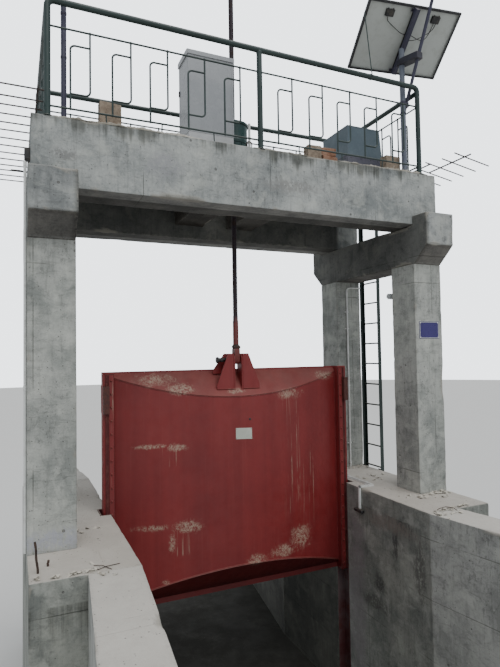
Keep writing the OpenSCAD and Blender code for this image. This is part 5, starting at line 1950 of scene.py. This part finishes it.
        hem.prism(Axis.Z,
                  [(x0 - 0.002, y0 - 0.002), (x1 - 0.07, y0 - 0.002), (x1 - 0.07, y0 + 0.003),
                   (x0 + 0.003, y0 + 0.003), (x0 + 0.003, y1), (x0 - 0.002, y1)], top, top + 0.010)
        hem.piece("housing_hem", HEM, "housing_blue", bevel=0.0008)
        trim = Stock()
        trim.block((x1 - 0.068, y0 - 0.001, b + 0.004), (x1 - 0.006, y0 + 0.004, b + 0.20))
        trim.piece("housing_strip", RUBBER, "housing_blue", bevel=0.001)
        screws = Stock()
        for u in (0.05, 0.20, 0.35, 0.46):
            for z in (b + 0.03, top - 0.03):
                screws.lathe((x0 + u, y0 + 0.0005, z), FRONT, mm(0, 6, 2, 6, 4, 4), 12)
        for v in (0.06, 0.29, 0.52):
            for z in (b + 0.03, top - 0.03):
                screws.lathe((x0 + 0.0005, y0 + v, z), LEFT, mm(0, 6, 2, 6, 4, 4), 12)
        screws.piece("housing_screws", STEEL, "dark_steel")

    def brick(self, name: str, finish: Finish, centre: Point, size: Point, turn: float, seed: int) -> None:
        """Lays one loose block or brick, its edges knocked off.

        Args:
            name: Name of the piece.
            finish: Fired clay of the brick.
            centre: Middle of its foot.
            size: Length, width and height.
            turn: Turn about the upright in degrees.
            seed: Seed of its wear.
        """
        stock = Stock()
        half = (size[0] / 2, size[1] / 2)
        CastBlock(Axis.Z, rectangle((-half[0], -half[1]), half), 0.0, size[2], seed=seed, step=0.03,
                  ease=0.003, chips=0.016, swell=0.001, bands=(0.0, 0.003, 0.007, 0.014, 0.024)).pour(stock)
        place = Matrix.Translation(centre) @ Matrix.Rotation(math.radians(turn), 4, "Z")
        bmesh.ops.transform(stock.bm, matrix=place, verts=stock.bm.verts)
        stock.piece(name, finish, "concrete", angle=30)

    def bricks(self) -> None:
        """Lays the loose blocks and bricks on the deck."""
        z = self.deck
        self.brick("tan_block_left", BLOCK, (-1.607, -0.88, z), (0.205, 0.10, 0.265), 3, 91)
        self.brick("tan_block_middle", BLOCK, (0.675, -0.86, z), (0.17, 0.115, 0.19), -4, 92)
        self.brick("orange_brick_low", BRICK, (0.872, -0.87, z), (0.20, 0.11, 0.09), 3, 93)
        self.brick("orange_brick_high", BRICK, (0.862, -0.865, z + 0.0905), (0.19, 0.105, 0.095), -5, 94)
        self.brick("tan_block_right", BLOCK, (1.845, -0.78, z), (0.22, 0.12, 0.255), 2, 95)

    def stubs(self) -> None:
        """Bends the bar stub in the front edge of the deck, and stands a short cut bar beside it."""
        stock = Stock()
        z = self.deck
        loop = [(-0.19, -0.955, z - 0.002), (-0.188, -0.955, z + 0.088), (-0.135, -0.955, z + 0.086),
                (-0.133, -0.955, z - 0.002)]
        stock.pipe(rounded(loop, 0.014), 0.006, 10)
        stock.pipe([(0.46, -0.95, z - 0.002), (0.465, -0.95, z + 0.06)], 0.006, 10)
        stock.piece("deck_bar_stubs", RUSTY, "rusty_steel")

    def build(self) -> None:
        """Builds the gear on the deck."""
        self.cabinet()
        self.housing()
        self.bricks()
        self.stubs()


@dataclass
class OnPanel:
    """Pieces drawn in the solar panel's own axes: u across it, v down its slope, w out of its face."""

    centre: Point = (1.99, -0.92, 8.773)
    turn: float = -9.0
    slope: float = 39.5

    def local(self) -> Matrix:
        """Matrix from the panel's own axes to the model's."""
        turn = Matrix.Rotation(math.radians(self.turn), 4, "Z")
        return Matrix.Translation(self.centre) @ turn @ Matrix.Rotation(math.radians(-self.slope), 4, "X")


@dataclass
class PanelLeads(OnPanel):
    """The two leads that hang behind the solar panel."""

    size: float = 0.008
    link: tuple[Point, ...] = mm(
        -320, -240, -12, -320, -222, -12, -314, -206, -14, -301, -191, -17, -281, -178, -21, -259, -166,
        -24, -235, -154, -27, -210, -142, -29, -185, -130, -32, -160, -118, -34, -135, -106, -36, -110, -95,
        -36, -84, -87, -35, -58, -82, -33, -31, -80, -31, -4, -80, -30, 23, -80, -31, 49, -79, -34, 74, -74,
        -38, 98, -67, -44, 122, -60, -51, 147, -55, -57, 173, -52, -61, 199, -53, -62, 222, -59, -59, 242,
        -71, -54, 257, -87, -48, 269, -107, -41, 279, -130, -33, 287, -154, -25, 293, -178, -18, 298, -203,
        -13, 300, -222, -12, 300, -240, -12, size=3)
    down: tuple[Point, ...] = mm(
        330, -240, -12, 330, -222, -12, 326, -204, -15, 317, -187, -21, 304, -171, -30, 287, -157, -41, 267,
        -144, -51, 246, -132, -58, 224, -121, -63, 202, -108, -67, 180, -92, -69, 159, -78, -70, 137, -65,
        -71, 114, -53, -71, 91, -43, -69, 69, -36, -67, 48, -32, -66, 25.3, -30, -66, size=3)

    def build(self) -> None:
        for name, route in (("panel_link_lead", self.link), ("panel_down_lead", self.down)):
            path = [self.local() @ Vector(p) for p in route]
            stock = Stock()
            stock.pipe(path, self.size / 2, 16)
            lead = stock.piece(name + "_sheath", LEAD, "black_plastic", (name,), angle=60)
            length = sum((b - a).length for a, b in zip(path, path[1:]))
            tuple(path[0])
            [tuple(p) for p in path]


@dataclass
class SolarSupply(OnPanel):
    """Solar panel on its post, with the leaning mast and the pole at the left corner."""

    size: tuple[float, float] = (1.24, 0.80)
    deck: float = 7.065
    post: tuple[float, float] = (1.97, -0.90)

    def on_panel(self, stock: Stock) -> Stock:
        """Moves a mesh from the panel's own axes to its place."""
        bmesh.ops.transform(stock.bm, matrix=self.local(), verts=stock.bm.verts)
        return stock

    def panel(self) -> None:
        """Builds the frames, back sheets and cells of the two halves."""
        wide, tall = self.size
        half = wide / 2
        frame_stock, sheet, cells = Stock(), Stock(), Stock()
        for side in (-1, 1):
            a, b = sorted((side * 0.0015, side * half))
            low, high = -tall / 2, tall / 2
            outer = [(a, low), (b, low), (b, high), (a, high)]
            levels = ((0.0, 0.0175), (0.0, -0.0175), (0.026, -0.0175), (0.026, -0.0155), (0.002, -0.0155),
                      (0.002, 0.009), (0.010, 0.009), (0.010, 0.0155), (0.008, 0.0175))
            rings = []
            for inset, w in levels:
                rings.append(frame_stock.ring((u + (inset if u == a else -inset),
                                               v + (inset if v == low else -inset), w) for u, v in outer))
            frame_stock.wrap(rings, closed=True, caps=False)
            sheet.block((a + 0.0022, low + 0.0022, 0.0065), (b - 0.0022, high - 0.0022, 0.0085))
            cells.block((a + 0.0105, low + 0.0105, 0.0100), (b - 0.0105, high - 0.0105, 0.0160))
        self.on_panel(frame_stock).piece(
            "panel_frames", PANEL_FRAME, "black_plastic", ("solar_panel",), angle=30)
        self.on_panel(sheet).piece("panel_back_sheets", PANEL_BACK, "panel_back")
        axes = self.local().to_3x3()
        across, up = axes @ Vector((1, 0, 0)), axes @ Vector((0, -1, 0))
        glass = SolarCells("Solar cells", tuple(self.centre), tuple(across), tuple(up), cell=0.1495)
        self.on_panel(cells).piece("panel_cells", glass, "panel_back")

    def boxes(self) -> None:
        """Moulds the two junction boxes with their lids, glands and labels left bare."""
        stock = Stock()
        for side in (-1, 1):
            u = side * 0.31
            stock.prism(Axis.Z,
                        [(u - 0.055, -0.315), (u - 0.050, -0.320), (u + 0.050, -0.320), (u + 0.055, -0.315),
                         (u + 0.055, -0.245), (u + 0.050, -0.240), (u - 0.050, -0.240),
                         (u - 0.055, -0.245)], -0.019, 0.006)
            stock.block((u - 0.049, -0.314, -0.025), (u + 0.049, -0.246, -0.0185))
            for k in range(4):
                stock.block(
                    (u - 0.040 + k * 0.022, -0.309, -0.0268), (u - 0.034 + k * 0.022, -0.251, -0.0245))
            for p in (-0.032, 0.032):
                stock.lathe((u + p, -0.319, -0.010), FRONT, mm(0, 7.5, 10, 7.5, 11, 6, 14, 4.5), 16)
        self.on_panel(stock).piece("junction_boxes", BLACK, "black_plastic", ("panel_boxes",), bevel=0.0012)

    def carrier(self) -> None:
        """Builds the post with its foot, the back beam, its cleats and the bolts of its clamps."""
        stock = Stock()
        stock.block((-0.025, -0.38, -0.090), (0.025, 0.38, -0.040))
        for v in (-0.35, 0.35):
            stock.block((-0.025, v - 0.03, -0.041), (0.025, v + 0.03, -0.0178))
            stock.block((-0.060, v - 0.018, -0.0225), (0.060, v + 0.018, -0.0178))
        self.on_panel(stock).piece("panel_beam", INDIGO, "indigo_paint", bevel=0.0012)
        stock = Stock()
        x, y = self.post
        z = self.deck
        stock.lathe((x, y, 0), UP,
                    ((z, 0.080), (z + 0.008, 0.080), (z + 0.010, 0.078), (z + 0.010, 0.036),
                     (z + 0.016, 0.0335), (8.66, 0.033), (8.675, 0.030)), 32)
        for k in range(4):
            a = math.radians(45 + 90 * k)
            stock.bolt((x + 0.058 * math.cos(a), y + 0.058 * math.sin(a), z + 0.010), UP, 0.010, 0.010)
        stock.piece("panel_post", POST, "indigo_paint", ("solar_post",), bevel=0.0012)
        bolts = Stock()
        for v in (-0.35, 0.35):
            for u in (-0.045, 0.045):
                bolts.bolt((u, v, -0.0225), (0, 0, -1), 0.008, 0.004)
        self.on_panel(bolts).piece("panel_clamp_bolts", STEEL, "dark_steel")

    def tie(self) -> None:
        """Stretches the thin tie rod from the left edge of the panel to the front rail."""
        stock = Stock()
        high = self.local() @ Vector((-0.6235, -0.23, -0.012))
        foot = Vector((1.411, -1.031, 8.157))
        stock.pipe([high.lerp(foot, i / 12) for i in range(13)], 0.0065, 10)
        stock.lathe(high, (foot - high), mm(-12, 9, 0, 10, 14, 10, 18, 6), 12)
        stock.lathe(
            (1.398, -1.0, 8.155), RIGHT, mm(0, 33.5, 1, 34.5, 24, 34.5, 25, 33.5, 25, 29.8, 0, 29.8), 24)
        stock.bolt((1.411, -1.030, 8.150), FRONT, 0.008, 0.005)
        stock.piece("panel_tie_rod", RAIL, "indigo_paint")

    def masts(self) -> None:
        """Stands the leaning mast with its clamps, and the pole at the left corner."""
        x, y = self.post
        foot = Vector((x + 0.074, y + 0.068, self.deck + 0.835))
        run = Vector((25, -480, 1080)).normalized()
        stock = Stock()
        stock.lathe(foot, run, mm(0, 18.5, 2, 20, 1898, 20, 1900, 18.5), 24)
        box = (x + 0.0333, y - 0.02, foot.z + 0.04)
        stock.block(box, (box[0] + 0.045, box[1] + 0.11, box[2] + 0.06))
        for z in (box[2] - 0.10, box[2] + 0.012, box[2] + 0.036):
            stock.lathe((x, y, z), UP, mm(0, 36, 1, 37, 22, 37, 23, 36, 23, 33.2, 0, 33.2), 28)
        grip = foot + run * ((8.50 - foot.z) / run.z)
        outline = [
            (x - 0.045, y + 0.040), (x - 0.045, y - 0.048), (x + 0.030, grip.y - 0.045),
            (grip.x + 0.035, grip.y - 0.035), (grip.x + 0.035, grip.y + 0.02), (x + 0.045, y + 0.040)]
        clamp = Stock()
        clamp.prism(Axis.Z, outline, 8.455, 8.463)
        clamp.prism(
            Axis.Z,
            [outline[0], outline[1], outline[2], outline[3], (grip.x + 0.028, grip.y - 0.026),
             (x + 0.028, grip.y - 0.034), (x - 0.036, y - 0.037), (x - 0.036, y + 0.040)], 8.462, 8.53)
        clamp.piece("mast_clamp", WEDGE, "indigo_paint", bevel=0.001)
        stock.piece("mast_and_rings", INDIGO, "indigo_paint", ("leaning_mast",), bevel=0.001)
        pole = Stock()
        px, py = -2.03, -0.90
        z = self.deck
        pole.lathe((px, py, 0), UP,
                   ((z, 0.070), (z + 0.008, 0.070), (z + 0.010, 0.068), (z + 0.010, 0.028),
                    (z + 0.016, 0.0255), (z + 2.108, 0.0250), (z + 2.110, 0.0235)), 32)
        for k in range(4):
            a = math.radians(45 + 90 * k)
            pole.bolt((px + 0.050 * math.cos(a), py + 0.050 * math.sin(a), z + 0.010), UP, 0.009, 0.008)
        for h in (0.62, 1.04):
            pole.lathe((px, py, z + h), UP, mm(0, 28, 1, 29, 20, 29, 21, 28, 21, 24.8, 0, 24.8), 24)
        pole.piece("left_pole_dressed", INDIGO, "indigo_paint", ("left_pole",), bevel=0.001)

    def build(self) -> None:
        """Builds the supply."""
        self.panel()
        self.boxes()
        self.carrier()
        self.tie()
        self.masts()


# Fittings on the columns

@dataclass
class WallFittings:
    """Watching camera, bare sign, conduits and level sensor."""

    wall: float = 3.2
    cap: float = 5.945

    def camera(self) -> None:
        """Moulds the camera with its arm, sunshade and lens."""
        x, y, z = 2.045, -0.63, 5.6
        stock = Stock()
        stock.prism(Axis.Y,
                    [(x - 0.03, z - 0.034), (x - 0.024, z - 0.04), (x + 0.024, z - 0.04),
                     (x + 0.03, z - 0.034), (x + 0.03, z + 0.044), (x + 0.024, z + 0.05),
                     (x - 0.024, z + 0.05), (x - 0.03, z + 0.044)], y + 0.0003, y + 0.008)
        stock.pipe(rounded([(x, y + 0.006, z + 0.02), (x, y + 0.040, z + 0.02), (x, y + 0.052, z + 0.010),
                            (x, y + 0.066, z + 0.002)], 0.01), 0.0095, 16)
        stock.lathe((x - 0.110, y + 0.066, z), RIGHT,
                    mm(0, 31, 3, 34, 8, 34.5, 130, 34.5, 150, 33, 164, 26, 170, 18), 36)
        shade_ring = []
        for t in (x - 0.128 + 0.018, x + 0.035):
            ring = []
            for k in range(17):
                a = math.radians(-20 + 220 * k / 16)
                ring.append((t, y + 0.066 + 0.038 * math.cos(a), z + 0.038 * math.sin(a)))
            for k in reversed(range(17)):
                a = math.radians(-20 + 220 * k / 16)
                ring.append((t, y + 0.066 + 0.036 * math.cos(a), z + 0.036 * math.sin(a)))
            shade_ring.append(stock.ring(ring))
        stock.wrap(shade_ring)
        stock.piece("camera_case", GREY_CASE, "white_plastic", ("camera",), bevel=0.0008)
        glass = Stock()
        glass.lathe((x - 0.1085, y + 0.066, z), LEFT, mm(-3, 29, 0.2, 28, 0.2, 0), 32)
        glass.piece("camera_window", BLACK, "black_plastic")

    def sign(self) -> None:
        """Screws the bare blue plate to the column."""
        (x0, y0, z0), (x1, _, z1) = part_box("sign_plate")
        stock = Stock()

        def front(i: int, j: int) -> Point:
            """Point of the front, with corners that lift off the wall."""
            lift = 0.003 * max(0.0, abs(i - 6) - 3) / 3 * abs(j - 4) / 4
            return x0 + (x1 - x0) * i / 12, y0 - lift * 0.5, z0 + (z1 - z0) * j / 8

        stock.plate(grid(13, 9, front), lambda at: at + Vector((0, 0.0016, 0)))
        border = [(x0 + 0.006, z0 + 0.006), (x1 - 0.006, z0 + 0.006), (x1 - 0.006, z1 - 0.006),
                  (x0 + 0.006, z1 - 0.006)]
        stock.piece("sign_sheet", SIGN, "sign_blue", ("sign_plate",), angle=30)
        rim = Stock()
        inner = [(u + (0.004 if u < (x0 + x1) / 2 else -0.004),
                  v + (0.004 if v < (z0 + z1) / 2 else -0.004)) for u, v in border]
        rings = []
        for ring in (border, inner):
            rings.append(rim.ring((u, y0 - 0.0022, v) for u, v in ring))
        rings.append(rim.ring((u, y0 + 0.0005, v) for u, v in inner))
        rings.append(rim.ring((u, y0 + 0.0005, v) for u, v in border))
        rim.wrap(rings, closed=True, caps=False)
        for u, v in ((x0 + 0.016, z0 + 0.016), (x1 - 0.016, z0 + 0.016), (x0 + 0.016, z1 - 0.016),
                     (x1 - 0.016, z1 - 0.016)):
            rim.lathe((u, y0 + 0.001, v), FRONT, mm(0, 6, 3, 6, 5, 4, 5.5, 1.5), 14)
        rim.piece("sign_border_and_screws", WHITE, "white_plastic")

    def clip(self, stock: Stock, at: Point, out: Point, size: float) -> None:
        """Adds a saddle clip over a conduit: at on the face, out the way that it faces."""
        way = Vector(out)
        across = Vector((-way.y, way.x, 0)).normalized()
        place = Vector(at)
        rings = []
        for z in (-0.009, 0.009):
            ring = []
            profile = list(mm(-34, 0, -34, 2, -17, 2.5))
            profile += [(-0.0155 * math.cos(math.radians(a)),
                         0.013 * size + 0.0155 * math.sin(math.radians(a))) for a in range(0, 181, 20)]
            profile += [(0.017, 0.0025), (0.034, 0.002), (0.034, 0.0)]
            for u, v in profile:
                ring.append(place + across * u + way * v + Vector((0, 0, z)))
            rings.append(stock.ring(ring))
        stock.wrap(rings)
        for u in (-0.026, 0.026):
            stock.lathe(place + across * u + way * 0.002, way, mm(0, 5, 2, 5, 3.5, 3), 10)

    def conduits(self) -> None:
        """Runs the conduits up the columns with bends, couplings and clips, and builds the level sensor."""
        stock = Stock()
        r = 0.013
        x, y = 2.11, 0.6167
        top = self.cap - 0.082
        stock.pipe(rounded([(x, y, self.wall), (x, y, top), (2.35, y, top)], 0.05, 8), r, 20)
        for z in (3.25, 4.1, 4.95, 5.75):
            stock.lathe((x, y, z), UP, mm(0, 13.5, 1, 15.5, 44, 15.5, 45, 13.5), 20)
            self.clip(stock, (x, 0.6299, z + 0.3 if z < 5.5 else z - 0.25), FRONT, 1.0)
        for yy in (-0.97, -0.93):
            xx = -2.3633
            stock.pipe([(xx, yy, self.wall), (xx, yy, 6.64)], r, 20)
            stock.lathe((xx, yy, 6.60), UP, mm(0, 13.5, 1, 15.5, 38, 15.5, 40, 13.5), 20)
            stock.lathe((xx, yy, 4.6), UP, mm(0, 13.5, 1, 15.5, 44, 15.5, 45, 13.5), 20)
        a, b = 1.472, 1.67
        yl = -0.47
        stock.block((b, yl - 0.013, self.wall), (b + 0.026, yl + 0.567, self.wall + 0.026))
        stock.block((a, yl - 0.013, self.wall), (b, yl + 0.013, self.wall + 0.026))
        stock.block((a - 0.0003, yl - 0.013, self.wall - 0.27), (a + 0.0257, yl + 0.013, self.wall + 0.026))
        for yy in (yl + 0.12, yl + 0.50):
            stock.block((b - 0.022, yy - 0.015, self.wall), (b + 0.048, yy + 0.015, self.wall + 0.004))
            stock.block((b - 0.003, yy - 0.015, self.wall), (b + 0.029, yy + 0.015, self.wall + 0.030))
            for xx in (b - 0.013, b + 0.039):
                stock.bolt((xx, yy, self.wall + 0.004), UP, 0.006, 0.004)
        stock.piece("conduits_and_arm", WHITE, "white_plastic", ("conduits",), bevel=0.001)
        sensor = Stock()
        sensor.lathe((a + 0.001, yl - 0.080, self.wall - 0.275), BACK,
                     mm(0, 15, 4, 20, 10, 24, 12, 25, 110, 25, 112, 22.5, 128, 22.5, 130, 25, 155, 25, 165,
                        20, 170, 12), 32)
        sensor.piece("level_sensor_body", BLACK, "black_plastic")

    def left_side(self) -> None:
        """Fixes the dark box and the short bars to the outer face at the left end of the front beam."""
        stock = Stock()
        stock.block((-2.365, -0.995, 6.66), (-2.3203, -0.905, 6.76))
        stock.block((-2.371, -0.989, 6.668), (-2.364, -0.911, 6.752))
        stock.pipe([(-2.322, -0.80, 6.60), (-2.36, -0.80, 6.60), (-2.40, -0.805, 6.603),
                    (-2.48, -0.81, 6.60)], 0.008, 10)
        stock.piece("left_end_box", BLACK, "black_plastic", bevel=0.0015)

    def build(self) -> None:
        """Builds the fittings."""
        self.camera()
        self.sign()
        self.conduits()
        self.left_side()


@dataclass
class StarterBars:
    """Two mats of ribbed bar at the ends of the deck, tied with wire."""

    level: float = 7.2
    radius: float = 0.008
    start: float = 2.215
    length: float = 0.695
    pitch: float = 0.2
    count: int = 14
    first: tuple[float, float] = (-1.21, -1.40)
    tie: float = 2.2675
    front_tie: float = 2.4275
    beam: float = 0.82
    face: float = 1.05
    strays: tuple[float, ...] = (
        0.0, 0.02, 0.0, 0.0, 0.0, -0.01, 0.01, 0.02, 0.04, 0.05, 0.06, 0.05, 0.05, 0.05)

    def ribbed(self, stock: Stock, start: Vector, end: Vector, radius: float) -> None:
        """Adds a bar with its rolled ribs."""
        count = max(8, int((end - start).length / 0.006))
        sag = 0.0015 * math.sin(start.y * 5 + start.x)
        path = []
        for i in range(count + 1):
            path.append(start.lerp(end, i / count) + Vector((0, sag * math.sin(i / count * 3.1), 0)))
        stock.pipe(path, lambda i: radius * (0.86 if i % 2 else 1.0), 8)

    def mat(self, side: int, droop: float, cut: float, ties: Sequence[tuple[float, float, float]]) -> None:
        """Builds one mat.

        Args:
            side: -1 at the left, 1 at the right.
            droop: Slope of the bars, in degrees, below the level.
            cut: Length cut off the inner ends in front of the deck and off every outer end.
            ties: Place across, start and end of each bar that ties the mat.
        """
        stock, wires = Stock(), Stock()
        y0 = self.first[0 if side < 0 else 1]
        fall = math.tan(math.radians(droop))

        def at(x: float, y: float, under: float = 0.0) -> Vector:
            """Point of the mat, or a distance under it."""
            return Vector((side * x, y, self.level - (x - self.front_tie) * fall - under))

        for i in range(self.count):
            y = y0 + i * self.pitch
            inner = self.start + (cut if y < -self.face else 0.0)
            y += self.strays[i] if side < 0 else 0.0
            self.ribbed(stock, at(inner, y), at(self.start + self.length - cut, y), self.radius)
            for x, low, high in ties:
                if low < y < high:
                    loop = []
                    for k in range(13):
                        a = math.tau * k / 12 + 0.4
                        loop.append(at(x, y, 0.006)
                                    + Vector((0.0115 * math.cos(a), 0.0115 * math.cos(a + 1.2),
                                              0.014 * math.sin(a))))
                    wires.pipe(loop, 0.0012, 5)
        for x, low, high in ties:
            self.ribbed(
                stock, at(x, low, 0.0134), at(x, high, 0.0134), self.radius * (1.0 if side < 0 else 1.2))
        for y in (-self.beam, self.beam):
            stock.pipe([Vector((side * self.tie, y, 7.063)), at(self.tie, y, 0.012)], self.radius, 10)
        name = "left" if side < 0 else "right"
        hides = ("starter_bars",) if side < 0 else ()
        stock.piece(f"{name}_starter_bars", BAR, "rusty_steel", hides, angle=25)
        wires.piece(f"{name}_tie_wires", BAR, "rusty_steel")

    def build(self) -> None:
        """Builds both mats."""
        low, high = self.first
        self.mat(-1, 0.0, 0.0, [(self.tie, low - 0.09, low + 2.7)])
        self.mat(1, 9.0, 0.075, [(self.tie, -1.03, high + 2.7), (self.front_tie, high - 0.11, -0.83)])


def main() -> None:
    """Builds the sub-assemblies in order."""
    logging.basicConfig(level=logging.INFO, format="%(name)s: %(message)s", force=True)
    Studio().build()
    PanelLeads().build()
    GateBay().build()
    PortalFrame().build()
    GateLeaf().build()
    LiftingGear().build()
    Railings().build()
    Ladder().build()
    DeckGear().build()
    SolarSupply().build()
    WallFittings().build()
    StarterBars().build()
    boxes = {"cad": CAD_BOX, "scene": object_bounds()}
    {k: [[float(c) for c in corner] for corner in box] for k, box in boxes.items()}


if __name__ == "__main__":
    main()
